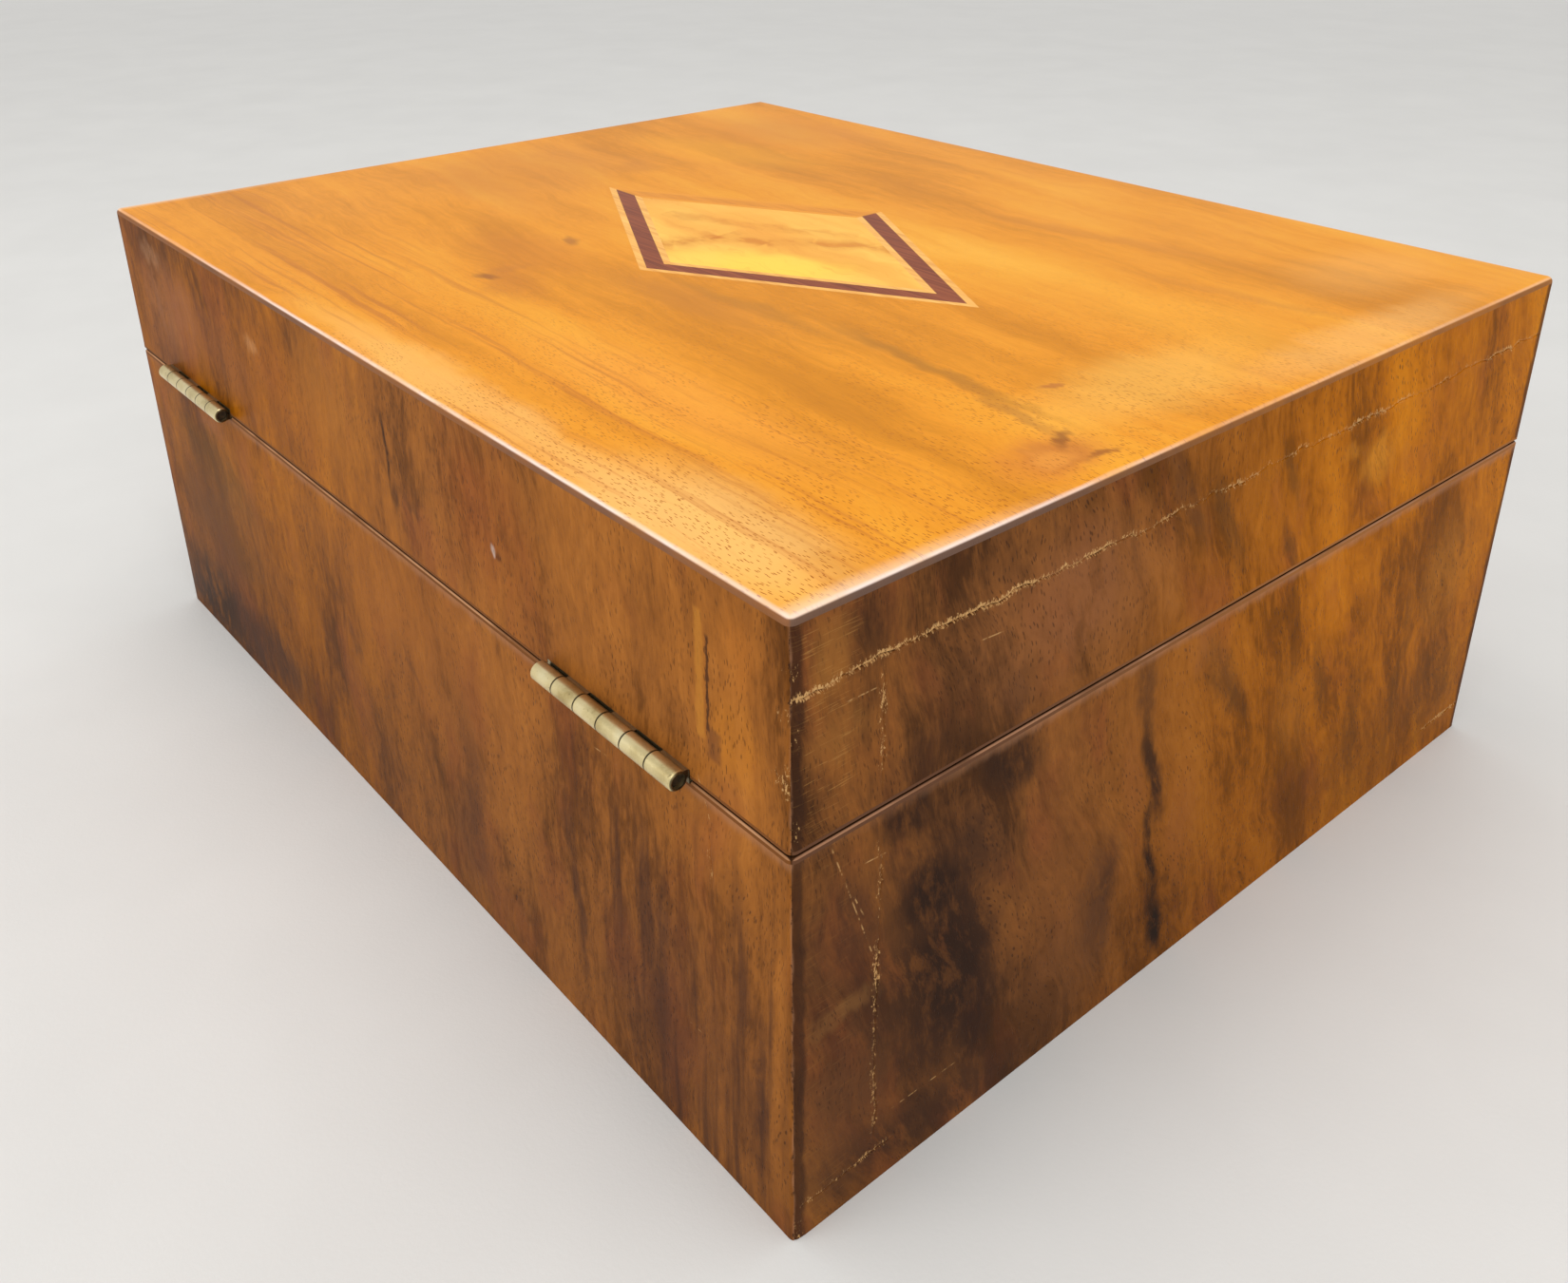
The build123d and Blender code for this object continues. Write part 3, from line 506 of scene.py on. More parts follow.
def side_walnut(
    name, seed, axis, figure, tones, marks=(), strokes=(), strip=0.15, foot=0.3, veins=None, fretted=0.0
):
    """Walnut with its grain upright, for one side of the box, base and lid alike.

    axis runs along the side, and tones are those at its + end and those at its - end. strip is how dark the
    corners are painted, with painted dark reflection over old polish, foot how strong the painted shade is
    that darkens the wood towards the foot, veins the places between which dark veins set in, and fretted the
    strength of the level scratches at the + end of the lid."""
    paint = Paint(name)
    z = paint.z
    across = getattr(paint, axis)
    half = HALF_X if axis == "x" else HALF_Y
    value, wandered, place, fibres = wood(paint, across, z, seed, figure)
    plus_end, minus_end = (paint.ramp(value, SHADES, shades) for shades in tones)
    towards = across + (value - 0.5) * 60
    paint.colour = paint.mix(towards.rise(75, -45), plus_end, minus_end)
    blush = paint.grain(wandered, z, 15, 34, seed + 35.5, 3.0)
    paint.lay(blush.rise(0.5, 0.72, 0.0, 0.35), (144, 76, 44))
    shown = paint.grain(wandered, z, 3.4, 9, seed + 45.5, 4.0, 0.7)
    add_marks(paint, place, marks, shown.rise(0.34, 0.56, 0.5, 1.12))
    if veins:
        thin = paint.grain(wandered * 0.3 + across * 0.7, z, 3.2, 60, seed + 33.5, 3.0)
        where = (across - z * 0.35).rise(*veins) * z.rise(92, 50, 0.15)
        paint.lay(thin.rise(0.47, 0.68, 0.0, 0.68) * where, (74, 46, 34))
    # Painted shade: the wood darker towards the foot, more on the base than on the lid
    paint.lay(z.rise(95, 0, 0.0, foot), (52, 33, 24))
    pores = paint.pores(wandered, z, seed, (0.8, 4.0, 0.16), (1.6, 8.0, 0.1))
    crowd = paint.grain(wandered, z, 9, 22, seed + 43.5)
    paint.lay(pores * crowd.rise(0.4, 0.62, 0.1, 0.6), CRACK_SHADE)
    add_strokes(paint, across, z, strokes)
    if fretted:
        fine = paint.grain(z, across, 0.22, 5.0, seed + 37.5).rise(0.6, 0.7, 0.0, fretted)
        paint.lay(fine * across.rise(104, 110) * z.rise(88, 96, 0.25), (176, 128, 70))

    # The upright corners: a strip of painted dark reflection over darker old polish, the very edge painted
    # pale as a highlight over rubbed wear, and a frayed dark arris
    to_corner = half - abs(across)
    patchy = paint.grain(across, z, 3.0, 7.0, seed + 31.5, 3.0)
    frayed = paint.grain(across, z, 1.0, 1.8, seed + 39.5, 3.0, 0.7)
    paint.lay((to_corner + patchy * 2.4).rise(4.6, 3.2, 0.0, strip), DARK)
    paint.lay((to_corner + patchy * 1.2).rise(1.35, 0.7, 0.0, 0.6), WORN_HIGHLIGHT_PINK)
    paint.lay((to_corner + frayed * 2.2).rise(1.55, 1.3, 0.0, 0.8), (50, 32, 24))

    # A pale highlight is painted over rubbed polish just below the joint between lid and base, less near the
    # + end
    rubbed = (BASE_RIM + 0.6 - z - patchy * 2.4).rise(2.6, 0.2, 0.0, 0.5) * z.rise(LID_RIM + 1.0, LID_RIM)
    paint.lay(rubbed * across.rise(118, 50, 0.1), WORN_HIGHLIGHT_PINK)

    # The cracks: pale splintered wood beside them and shade within
    crack = paint.attribute("crack")
    teeth = paint.grain(across, z, 0.35, 0.9, seed + 41.5, 3.0, 0.7)
    pale = (crack + teeth * 3.2).rise(2.05, 2.45, 0.0, 0.85) * crack.rise(0.02, 0.2)
    paint.lay(pale, PALE_CHIP)
    shade = paint.attribute("gap") - teeth * 1.6
    paint.lay(shade.rise(-0.2, 0.2, 0.0, 0.7), CRACK_SHADE)

    rough = paint.grain(across, z, 30, 30, seed + 51.5, 3.0) * 0.16 + pale * 0.3 + 0.24
    return paint.finish(rough, fibres * 0.03 - pores * 0.06, 0.6, Specular_IOR_Level=0.014)


def edges(paint, soft):
    """How far the top's nearest edge and nearest end are, and how far the nearest edge is an end."""
    to_end = HALF_X - abs(paint.x)
    to_side = HALF_Y - abs(paint.y)
    return paint.math("MINIMUM", to_end, to_side), to_end, (to_side - to_end).rise(-soft, soft)


def top_walnut():
    """The polished top: bright walnut with its grain along the hinges."""
    paint = Paint("top_walnut")
    x, y = paint.x, paint.y
    seed = 4.0
    value, wandered, place, fibres = wood(paint, y, x, seed, TOP_FIGURE)
    paint.colour = paint.ramp(value, SHADES, TOP_TONES)
    add_marks(paint, place, TOP_MARKS)
    straighter = wandered * 0.3 + y * 0.7
    lines = paint.grain(straighter, x, 1.3, 70, seed + 33.5, 3.0).rise(0.5, 0.72, 0.0, 0.5)
    paint.lay(lines * y.rise(55, 95), (184, 104, 44))
    crowd = paint.grain(y, x, 7, 16, seed + 43.5).rise(0.36, 0.58, 0.15)
    pores = paint.pores(straighter, x, seed, (0.6, 3.6, 0.16), (1.0, 5.6, 0.12)) * crowd
    paint.lay(pores * (y - x).rise(-40, 250, 0.05, 0.9), (170, 92, 20))

    # The rounded outer edge gets a painted pale highlight over rubbed wear, less toward the front and the +X
    # end, and a painted glow of it spreads onto the top near both ends of the back edge
    to_edge, to_end, on_end = edges(paint, 0.5)
    patchy = paint.noise(x * 0.06, y * 0.06, 31.5, 3.0)
    paint.lay(y.rise(50, 110) * to_end.rise(4.5, 0.5, 0.0, 0.6), (255, 222, 188))
    rubbed = (to_edge + patchy * 0.9).rise(1.8, 1.0) * patchy.rise(0.35, 0.65, 0.4, 0.9)
    dull = between(on_end, x.rise(0, 120, 0.0, 0.6), y.rise(90, 10, 0.0, 0.7))
    paint.lay(rubbed * (1.0 - dull), (252, 232, 222))

    # Below it the rounding is painted as dark as the sides and darker in patches: painted shade under the
    # highlight
    end_face = paint.mix(y.rise(90, -60), (98, 68, 52), (162, 100, 40))
    face = paint.mix(on_end, (134, 82, 42), end_face)
    face = paint.mix(patchy.rise(0.45, 0.7, 0.0, 0.4), face, (66, 44, 34))
    paint.lay((TOP - paint.z).rise(0.28, 0.6, 0.0, 0.95), face)
    rough = paint.grain(y, x, 40, 60, seed + 51.5, 3.0) * 0.14 + 0.25
    return paint.finish(rough, fibres * 0.025 - pores * 0.05, 0.6, **POLISH)


def rim_walnut():
    """The facing on the rims: painted shade inward from the outer edge, and on the base its arris painted
    pale as a highlight over rubbed wear.
    """
    paint = Paint("rim_walnut")
    x, y = paint.x, paint.y
    to_edge, _, on_end = edges(paint, 0.05)
    along_sides = paint.grain(y, x, 3.0, 60, 2.5, 3.0, 0.6)
    along_ends = paint.grain(x, y, 3.0, 60, 4.5, 3.0, 0.6)
    value = between(on_end, along_sides, along_ends)
    paint.colour = paint.ramp(value, (0.3, 0.5, 0.7), [(66, 40, 22), (96, 58, 28), (132, 80, 36)])
    # Painted shade on the rim's top face, which the lid covers
    paint.lay(to_edge.rise(2.6, 0.6, 0.0, 0.75), (46, 29, 19))
    end_face = paint.mix(y.rise(90, -40), (104, 70, 50), (164, 106, 56))
    paint.lay(to_edge.rise(0.45, 0.25, 0.0, 0.9), paint.mix(on_end, (128, 78, 38), end_face))
    # Painted pale highlight over rubbed wear on the base's arris
    above = paint.z - BASE_RIM
    arris = above.rise(-0.38, -0.28) * above.rise(0.3, 0.1) * to_edge.rise(0.4, 0.25)
    patchy = paint.noise(x * 0.07, y * 0.07, 5.5, 3.0).rise(0.35, 0.6, 0.25)
    paint.lay(arris * patchy, paint.mix(on_end, (206, 154, 112), (178, 130, 98)))
    fine = paint.noise(x * 0.7, y * 0.7, 9.5, 3.0)
    return paint.finish(fine * 0.2 + 0.32, fine * 0.05, 0.5, Specular_IOR_Level=0.02)


def strip_wood(name, seed, width, tones, far_tones):
    """A strip of the inlay, with a straight fine grain along the hinges.

    On the diamond's side toward +X and -Y it is streaked in the far tones."""
    paint = Paint(name)
    fine = paint.grain(paint.y, paint.x, width, 26, seed, 4.0, 0.6)
    paint.colour = paint.ramp(fine, (0.3, 0.5, 0.7), tones)
    streaks = paint.grain(paint.y, paint.x, 1.4, 22, 73.5, 3.0)
    far_side = paint.x.rise(-0.4, 0.4) * paint.y.rise(0.4, -0.4)
    paint.lay(far_side, paint.ramp(streaks, (0.3, 0.7), far_tones))
    return paint.finish(fine * 0.15 + 0.24, fine * 0.03, 0.5, **POLISH)


def figured_panel():
    """Pale gold wood, yellower on one side of two wavy brown veins."""
    paint = Paint("figured_panel")
    x, y = paint.x, paint.y
    drift = paint.grain(y, x, 9, 12, 81.5) - 0.5
    wandered = y + drift * 11.0
    broad = paint.grain(wandered, x, 11, 50, 83.5)
    paint.colour = paint.ramp(broad, (0.3, 0.46, 0.6, 0.75), PANEL_TONES)
    add_marks(paint, paint.point(wandered, x), PANEL_MARKS)
    uneven = paint.grain(y, x, 4, 9, 89.5, 3.0).rise(0.36, 0.6, 0.3)
    for path, width, strength in PANEL_VEINS:
        for start, end in zip(path, path[1:]):
            vein = paint.line(paint.point(x, wandered), start, end, width)
            paint.lay(vein * uneven * strength, (204, 116, 26))
    fine = paint.grain(wandered, x, 0.6, 14, 87.5, 3.0)
    paint.lay(fine.rise(0.5, 0.8, 0.0, 0.3), (226, 146, 58))
    return paint.finish(fine * 0.12 + 0.24, fine * 0.03, 0.5, **POLISH)


def pine(name, across_axis, along_axis, seed):
    """Bare old softwood of the carcass, with its growth lines."""
    paint = Paint(name)
    across, along = getattr(paint, across_axis), getattr(paint, along_axis)
    wandered = across + paint.grain(across, along, 60, 200, seed) * 26.0
    rings = paint.math("SINE", wandered * 1.05)
    fine = paint.grain(wandered, along, 0.7, 30, seed + 3, 4.0, 0.6)
    value = rings * 0.16 + fine * 0.7 + 0.16
    paint.colour = paint.ramp(value, (0.2, 0.5, 0.8), [(148, 104, 62), (186, 144, 94), (206, 168, 118)])
    stain = paint.grain(across, along, 40, 70, seed + 6, 4.0, 0.6)
    paint.lay(stain.rise(0.5, 0.75, 0.0, 0.5), (112, 78, 50))
    return paint.finish(fine * 0.2 + 0.6, fine * 0.1, 0.6, Specular_IOR_Level=0.3)


# ---- metal


def brass(name="aged_brass", crevice_shade=None):
    """Old brass: yellow where it is handled, grey-brown in its corners.

    On the hinges' leaves the joints between the knuckles hold dirt, the barrels' undersides are darkened by
    painted shade, and crevice_shade is the painted shade behind the barrels."""
    paint = Paint(name)
    x, y, z = paint.x, paint.y, paint.z
    fine = paint.cloud(2.5, 3.0, 0.6)
    value = paint.cloud(0.16, 3.0) * 0.85 + fine * 0.15
    tones = [(186, 164, 110), (216, 198, 146), (230, 212, 160), (240, 226, 180)]
    paint.colour = paint.ramp(value, (0.3, 0.45, 0.55, 0.7), tones)
    paint.lay(paint.cloud(1.3).rise(0.66, 0.76, 0.0, 0.5), (106, 82, 48))
    if crevice_shade:
        # Painted shade: behind the barrels and on the barrels' undersides
        behind = y.rise(AXIS_Y - 0.5, AXIS_Y - 1.5) * y.rise(HALF_Y - 0.4, HALF_Y - 0.1)
        below = z.rise(AXIS_Z - 0.9, AXIS_Z - 1.7) * y.rise(HALF_Y, HALF_Y + 0.1)
        from_start = abs(x) - low("hinge_right_base_leaf").x
        from_joint = paint.math("PINGPONG", from_start, HINGE_LENGTH / KNUCKLES / 2)
        joint = from_joint.rise(0.28, 0.12) * y.rise(HALF_Y, HALF_Y + 0.3)
        paint.lay(behind * 0.85, crevice_shade)
        paint.lay(below * 0.75, (120, 102, 64))
        paint.lay(joint * 0.85, (58, 44, 26))
    lines = paint.noise(x * 0.25, y * 4.0, z * 4.0)
    return paint.finish(0.42 - value * 0.2, lines * 0.02 + fine * 0.01, 0.5, Metallic=0.9)


def dirty_pin():
    """The hinge pins' ends, black with old oil."""
    paint = Paint("dirty_pin")
    cloud = paint.cloud(1.2, 3.0)
    paint.colour = paint.ramp(cloud, (0.3, 0.7), [(36, 28, 20), (78, 62, 40)])
    return paint.finish(cloud * 0.2 + 0.5, cloud, 0.1, Metallic=0.6)


def steel():
    """Bright filed steel with spots of rust."""
    paint = Paint("lock_steel")
    lines = paint.noise(paint.x * 0.2, paint.y * 3.0, paint.z * 3.0, 3.0)
    cloud = paint.cloud(0.4, 4.0, 0.6)
    paint.colour = paint.ramp(lines, (0.3, 0.7), [(118, 114, 108), (168, 165, 158)])
    paint.lay(cloud.rise(0.55, 0.7, 0.0, 0.8), (96, 62, 40))
    return paint.finish(cloud * 0.3 + 0.25, lines * 0.04, 0.6, Metallic=1.0)


# ---- fabric


def satin(name, flat_axis, seed):
    """Ruby silk satin: a smooth sheen over a fine weave, a little faded and rubbed."""
    paint = Paint(name)
    first = paint.x if flat_axis != "x" else paint.y
    second = paint.z if flat_axis != "z" else paint.y
    faded = paint.cloud(0.02, 4.0, 0.6)
    paint.colour = paint.ramp(faded, (0.3, 0.5, 0.7), [(118, 22, 36), (148, 32, 48), (172, 52, 62)])
    warp = paint.math("SINE", first * (2 * math.pi / 0.45))
    weft = paint.math("SINE", second * (2 * math.pi / 0.35))
    slub = paint.noise(first * (1 / 14), second * (1 / 0.5), seed, 3.0)
    paint.lay(slub.rise(0.55, 0.8, 0.0, 0.35), (196, 84, 88))
    height = (warp * 0.6 + weft * 0.4) * 0.02 + slub * 0.05
    sheen = {"Specular_IOR_Level": 0.5, "Sheen_Weight": 0.35, "Sheen_Roughness": 0.4, "Anisotropic": 0.5}
    return paint.finish(slub * 0.2 + 0.3, height, 0.6, **sheen)


# ---- meshes


def ripple(values, length, seed):
    """Smooth noise between about -1 and 1 along a line, with features of about that length."""
    out = [noise.noise(Vector((v / length + 0.37, seed + 0.21, 1.3 * seed + 0.43))) for v in np.ravel(values)]
    return 1.6 * np.reshape(out, np.shape(values))


def ripple_over(first, second, size, seed):
    """The same over a surface."""
    pairs = zip(np.ravel(first), np.ravel(second))
    out = [noise.noise(Vector((a / size[0] + 0.37, b / size[1] + 0.11, seed + 0.63))) for a, b in pairs]
    return 1.6 * np.reshape(out, np.shape(first))


def rounded(share):
    """The height of a quarter circle at a share of its way in, from 0 at the edge to 1."""
    return np.sqrt(np.clip(1 - (1 - np.clip(share, 0, 1)) ** 2, 0, 1))


def mesh_piece(name, points, faces, material, body, replaced=(), smooth_below=60.0):
    """A closed mesh in millimetres that rides on a body and stands for the CAD nodes that it replaces.

    Faces that meet at more than smooth_below degrees keep a sharp edge."""
    mesh = bpy.data.meshes.new(name)
    mesh.from_pydata([tuple(p) for p in np.asarray(points) * MM], [], faces)
    mesh.validate()
    mesh.shade_smooth()
    mesh.set_sharp_from_angle(angle=math.radians(smooth_below))
    mesh.materials.append(material)
    piece = bpy.data.objects.new(name, mesh)
    bpy.context.scene.collection.objects.link(piece)
    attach(piece, body)
    if replaced:
        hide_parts(*replaced)
    turned_out = bmesh.new()
    turned_out.from_mesh(mesh)
    bmesh.ops.recalc_face_normals(turned_out, faces=turned_out.faces)
    turned_out.to_mesh(mesh)
    turned_out.free()
    return piece


def between_grids(front, back, keep=None, wrap=False):
    """Points and faces of the closed solid between two grids of points, and which of their points it uses.

    Both grids are arrays of columns by rows by 3. Only the cells marked in keep exist; with wrap the last
    column meets the first."""
    columns, rows = front.shape[:2]
    cells = columns if wrap else columns - 1
    if keep is None:
        keep = np.ones((cells, rows - 1), bool)
    half = columns * rows

    def at(i, j, side):
        return side * half + (i % columns) * rows + j

    def kept(i, j):
        if wrap:
            i = i % cells
        return 0 <= i < cells and 0 <= j < rows - 1 and keep[i, j]

    faces = []
    for i, j in np.argwhere(keep):
        faces.append((at(i, j, 0), at(i + 1, j, 0), at(i + 1, j + 1, 0), at(i, j + 1, 0)))
        faces.append((at(i, j, 1), at(i, j + 1, 1), at(i + 1, j + 1, 1), at(i + 1, j, 1)))
        if not kept(i - 1, j):
            faces.append((at(i, j, 0), at(i, j + 1, 0), at(i, j + 1, 1), at(i, j, 1)))
        if not kept(i + 1, j):
            faces.append((at(i + 1, j, 0), at(i + 1, j, 1), at(i + 1, j + 1, 1), at(i + 1, j + 1, 0)))
        if not kept(i, j - 1):
            faces.append((at(i, j, 0), at(i, j, 1), at(i + 1, j, 1), at(i + 1, j, 0)))
        if not kept(i, j + 1):
            faces.append((at(i, j + 1, 0), at(i + 1, j + 1, 0), at(i + 1, j + 1, 1), at(i, j + 1, 1)))
    points = np.concatenate([front.reshape(-1, 3), back.reshape(-1, 3)])
    used = np.unique(np.array(faces))
    new_place = -np.ones(len(points), int)
    new_place[used] = np.arange(len(used))
    return points[used], [tuple(new_place[list(face)]) for face in faces], used


def upright_grid(along_x, along, out, up):
    """Points of a face that runs along X, or along Y, from how far along, out and up they are."""
    return np.stack([along, out, up] if along_x else [out, along, up], -1)


# ---- side veneers

# A crack in a veneer: where it lies, where it runs from and to, how wide it gapes and how far it wanders
Crack = namedtuple("Crack", "place start end opening wander seed")

# A chip in an upright corner: its height, its half length, its depth, the end it is at, as 1 or -1, and
# its share of pale wood
Chip = namedtuple("Chip", "height length depth end pale")

# The gap that a hinge needs in the lid's back veneer: where it starts and ends, and its height
Notch = namedtuple("Notch", "start end lintel")

# A crack's section: offsets from its middle, and at each the height, the pale wood and the shade
CRACK_OFFSETS = np.array([-1.4, -0.75, -0.42, -0.2, 0.0, 0.2, 0.42, 0.75, 1.4])
CRACK_HEIGHTS = np.array([0.0, 0.03, 0.05, -0.42, -0.15, 0.02, 0.05, 0.03, 0.0])
CRACK_PALES = np.array([0.0, 0.2, 0.55, 0.8, 0.95, 0.95, 0.8, 0.5, 0.0])
CRACK_GAPS = np.array([0.0, 0.0, 0.3, 1.0, 0.5, 0.1, 0.0, 0.0, 0.0])
CRACK_REACH = 6.0  # how far beside a crack the mesh gives way to its wandering
FINE_SPACING = 1.3  # between mesh lines across a crack's run, and where there is none
COARSE_SPACING = 4.0
SKIN = 0.09  # how far the figured surface lies inside the CAD's face, for its waves to move in
SIDE_WAVE = 0.035  # how far the slow waves of the veneers rise and fall
TOP_WAVE = 0.03
VENEER_SHARP = 38.0  # degrees at which the veneers' edges start to be sharp
MITRE_REACH = 8.0  # how far from the corner the inner face is drawn in to its mitred end


def crack_path(crack, along):
    """How far the crack strays from its straight line, at places along it."""
    return crack.wander * (0.6 * ripple(along, 11, crack.seed) + 0.7 * ripple(along, 1.9, crack.seed + 5))


def crack_strength(crack, along):
    """How open it is there: it fades at its ends and in places closes."""
    inside = np.clip(np.minimum(along - crack.start, crack.end - along) / 3.0, 0, 1)
    return inside * np.clip(crack.opening + 0.35 * ripple(along, 8, crack.seed + 9), 0, 1)


def lines_with_cracks(start, end, spacing, cracks):
    """Places of the mesh lines from start to end, drawn together at the cracks."""
    lines = list(np.linspace(start, end, max(2, round((end - start) / spacing) + 1)))
    for crack in cracks:
        inner = [v for v in lines if v in (start, end) or abs(v - crack.place) > 2.0]
        lines = inner + [v for v in crack.place + CRACK_OFFSETS if start < v < end]
    return np.array(sorted(lines))


def cracked(cracks, across, along, held):
    """What cracks do to a face: its height, its pale wood, its shade, and how far its points move across.

    held is how freely a point may move."""
    height, pale, gap, shift = (np.zeros_like(across) for _ in range(4))
    for crack in cracks:
        offset = across - crack.place
        strength = np.broadcast_to(crack_strength(crack, along), across.shape)
        near = np.clip(1 - (np.abs(offset) - 1.5) / CRACK_REACH, 0, 1)
        height += np.interp(offset, CRACK_OFFSETS, CRACK_HEIGHTS) * strength
        pale = np.maximum(pale, np.interp(offset, CRACK_OFFSETS, CRACK_PALES) * strength)
        gap = np.maximum(gap, np.interp(offset, CRACK_OFFSETS, CRACK_GAPS) * strength)
        shift += near * crack_path(crack, along) * held
    return height, pale, gap, shift


def rounded_line(half, out, flat):
    """Places along a side and out from the box's middle: the flat stretch and half of each rounded corner."""
    angles = np.radians(np.linspace(45, 90, 5))[:-1]
    bend = half - CORNER_ROUND + CORNER_ROUND * np.cos(angles)
    outward = out - CORNER_ROUND + CORNER_ROUND * np.sin(angles)
    along = np.concatenate([-bend, flat, bend[::-1]])
    return along, np.concatenate([outward, np.full(len(flat), out), outward[::-1]])


def side_veneer(name, material, level=(), upright=(), notches=(), chips=()):
    """One side veneer: mitred ends, rounded corners, slight waves, and its cracks as real grooves.

    level cracks run along the side at a height, upright ones run up it."""
    body, side, _ = name.split("_")
    foot, top = SIDE_VENEERS[body]
    along_x = side in ("front", "back")
    half, out = (HALF_X, HALF_Y) if along_x else (HALF_Y, HALF_X)
    flat_end = half - CORNER_ROUND
    edges_of_notches = [edge + step for notch in notches for edge in notch[:2] for step in (-0.01, 0.01)]
    flat = lines_with_cracks(-flat_end, flat_end, FINE_SPACING if level else COARSE_SPACING, upright)
    flat = [v for v in flat if all(abs(v - edge) > 0.3 for edge in edges_of_notches)]
    s_line, n_line = rounded_line(half, out, np.sort(flat + edges_of_notches))
    z_line = lines_with_cracks(foot, top, FINE_SPACING if upright else COARSE_SPACING, level)

    # Places along the side, up it and out from the middle: first the cracks and waves, then the chips
    s, z = np.meshgrid(s_line, z_line, indexing="ij")
    n = np.repeat(n_line[:, None], len(z_line), 1)
    on_flat = np.clip((flat_end - np.abs(s)) / 2.0, 0, 1)
    in_height = np.clip(np.minimum(z - foot, top - z) / 1.5, 0, 1)
    level_height, level_pale, level_gap, shift_z = cracked(level, z, s_line[:, None], in_height)
    upright_height, upright_pale, upright_gap, shift_s = cracked(upright, s, z_line[None, :], on_flat)
    pale = np.maximum(level_pale, upright_pale)
    gap = np.maximum(level_gap, upright_gap)
    s = s + shift_s
    z = z + shift_z
    wave = SIDE_WAVE * ripple_over(s, z, (34, 26), 3.3 if along_x else 5.1)
    held = (0.25 + 0.75 * on_flat) * (0.15 + 0.85 * in_height)
    n = n + (level_height + upright_height + wave - SKIN) * held
    for chip in chips:
        at_corner = np.clip(chip.end * s / flat_end, 0, 1) ** 160
        bite = np.clip(1 - np.abs(z - chip.height) / chip.length, 0, 1) ** 0.5 * at_corner
        bite = bite * np.clip(0.6 + 0.8 * ripple(z, 1.7, chip.height), 0.1, 1.0)
        n = n - chip.depth * bite
        s = s - chip.end * chip.depth * 0.7 * bite
        pale = np.maximum(pale, chip.pale * bite)

    # The inner face ends further in than the outer one, as a mitre does
    tail = half - MITRE_REACH
    drawn_in = 1 - (half - VENEER - tail) / (s_line[-1] - tail)
    inner_line = s_line - np.sign(s_line) * np.clip(np.abs(s_line) - tail, 0, None) * drawn_in
    inner_s, inner_z = np.meshgrid(inner_line, z_line, indexing="ij")
    for notch in notches:
        inside = (s_line > notch.start) & (s_line < notch.end)
        for heights in (z, inner_z):
            heights[inside] = top - (top - heights[inside]) * (top - notch.lintel) / (top - foot)

    sign = 1 if side in ("back", "right") else -1
    front = upright_grid(along_x, s, sign * n, z)
    back = upright_grid(along_x, inner_s, np.full_like(n, sign * (out - VENEER)), inner_z)
    points, faces, used = between_grids(front, back)
    piece = mesh_piece(f"{name}_skin", points, faces, material, body, [name], VENEER_SHARP)
    for attribute, values in (("crack", pale), ("gap", gap)):
        layer = piece.data.attributes.new(attribute, "FLOAT", "POINT")
        on_both = np.concatenate([values.ravel(), np.zeros(values.size)])
        layer.data.foreach_set("value", on_both[used].astype(np.float32))


# ---- top veneer


def loop_of_outline(spacing):
    """Places round the top: edge points or corner centres, the way outward, and the inlay's edge there."""
    cx = HALF_X - CORNER_ROUND
    cy = HALF_Y - CORNER_ROUND
    quadrant = [(cx, y, 1.0, 0.0) for y in np.linspace(0, cy, round(cy / spacing) + 1)]
    quadrant += [(cx, cy, math.cos(angle), math.sin(angle)) for angle in np.radians([15, 30, 45, 60, 75])]
    quadrant += [(x, cy, 0.0, 1.0) for x in np.linspace(cx, 0, round(cx / spacing) + 1)]
    share = np.linspace(0, 1, len(quadrant))
    rows = np.column_stack([quadrant, INLAY_X * (1 - share), INLAY_Y * share])
    loop = [rows]
    for flip_x, flip_y in ((-1, 1), (-1, -1), (1, -1)):
        turned = rows * np.tile([flip_x, flip_y], 3)
        loop.append(turned[1:] if flip_x == flip_y else turned[::-1][1:])
    return np.concatenate(loop)[:-1]


def top_veneer(material):
    """The top as one sheet round the inlay, with a softly rounded outer edge and slight waves."""
    base, outward, inlay = np.split(loop_of_outline(4.0), 3, axis=1)
    flat_edge = base + outward * (CORNER_ROUND - TOP_ROUND)
    rows = []
    for share in np.linspace(0, 1, 26) ** 0.9:
        place = inlay + (flat_edge - inlay) * share
        wave = TOP_WAVE * ripple_over(place[:, 0], place[:, 1], (60, 34), 7.7) - SKIN / 2
        held = min(1.0, share * 8) * min(1.0, (1 - share) * 8)
        rows.append(np.column_stack([place, TOP + wave * held]))
    for angle in np.radians([15, 30, 45, 60, 75, 90]):
        place = flat_edge + outward * TOP_ROUND * math.sin(angle)
        height = TOP - TOP_ROUND + TOP_ROUND * math.cos(angle)
        rows.append(np.column_stack([place, np.full(len(place), height)]))
    front = np.stack(rows, 1)
    back = front.copy()
    back[:, :, 2] = TOP_VENEER_FOOT
    points, faces, _ = between_grids(front, back, wrap=True)
    name = "lid_top_veneer"
    mesh_piece(f"{name}_skin", points, faces, material, "lid", [name], VENEER_SHARP)


# ---- pads and linings

PAD_CELLS = (6, 5)  # diamonds of the quilting, along X and Y
PAD_SPACING = 2.4
PAD_FRAMES = 20
PUFF_LIMIT = 3.0  # how far the cloth may move a point
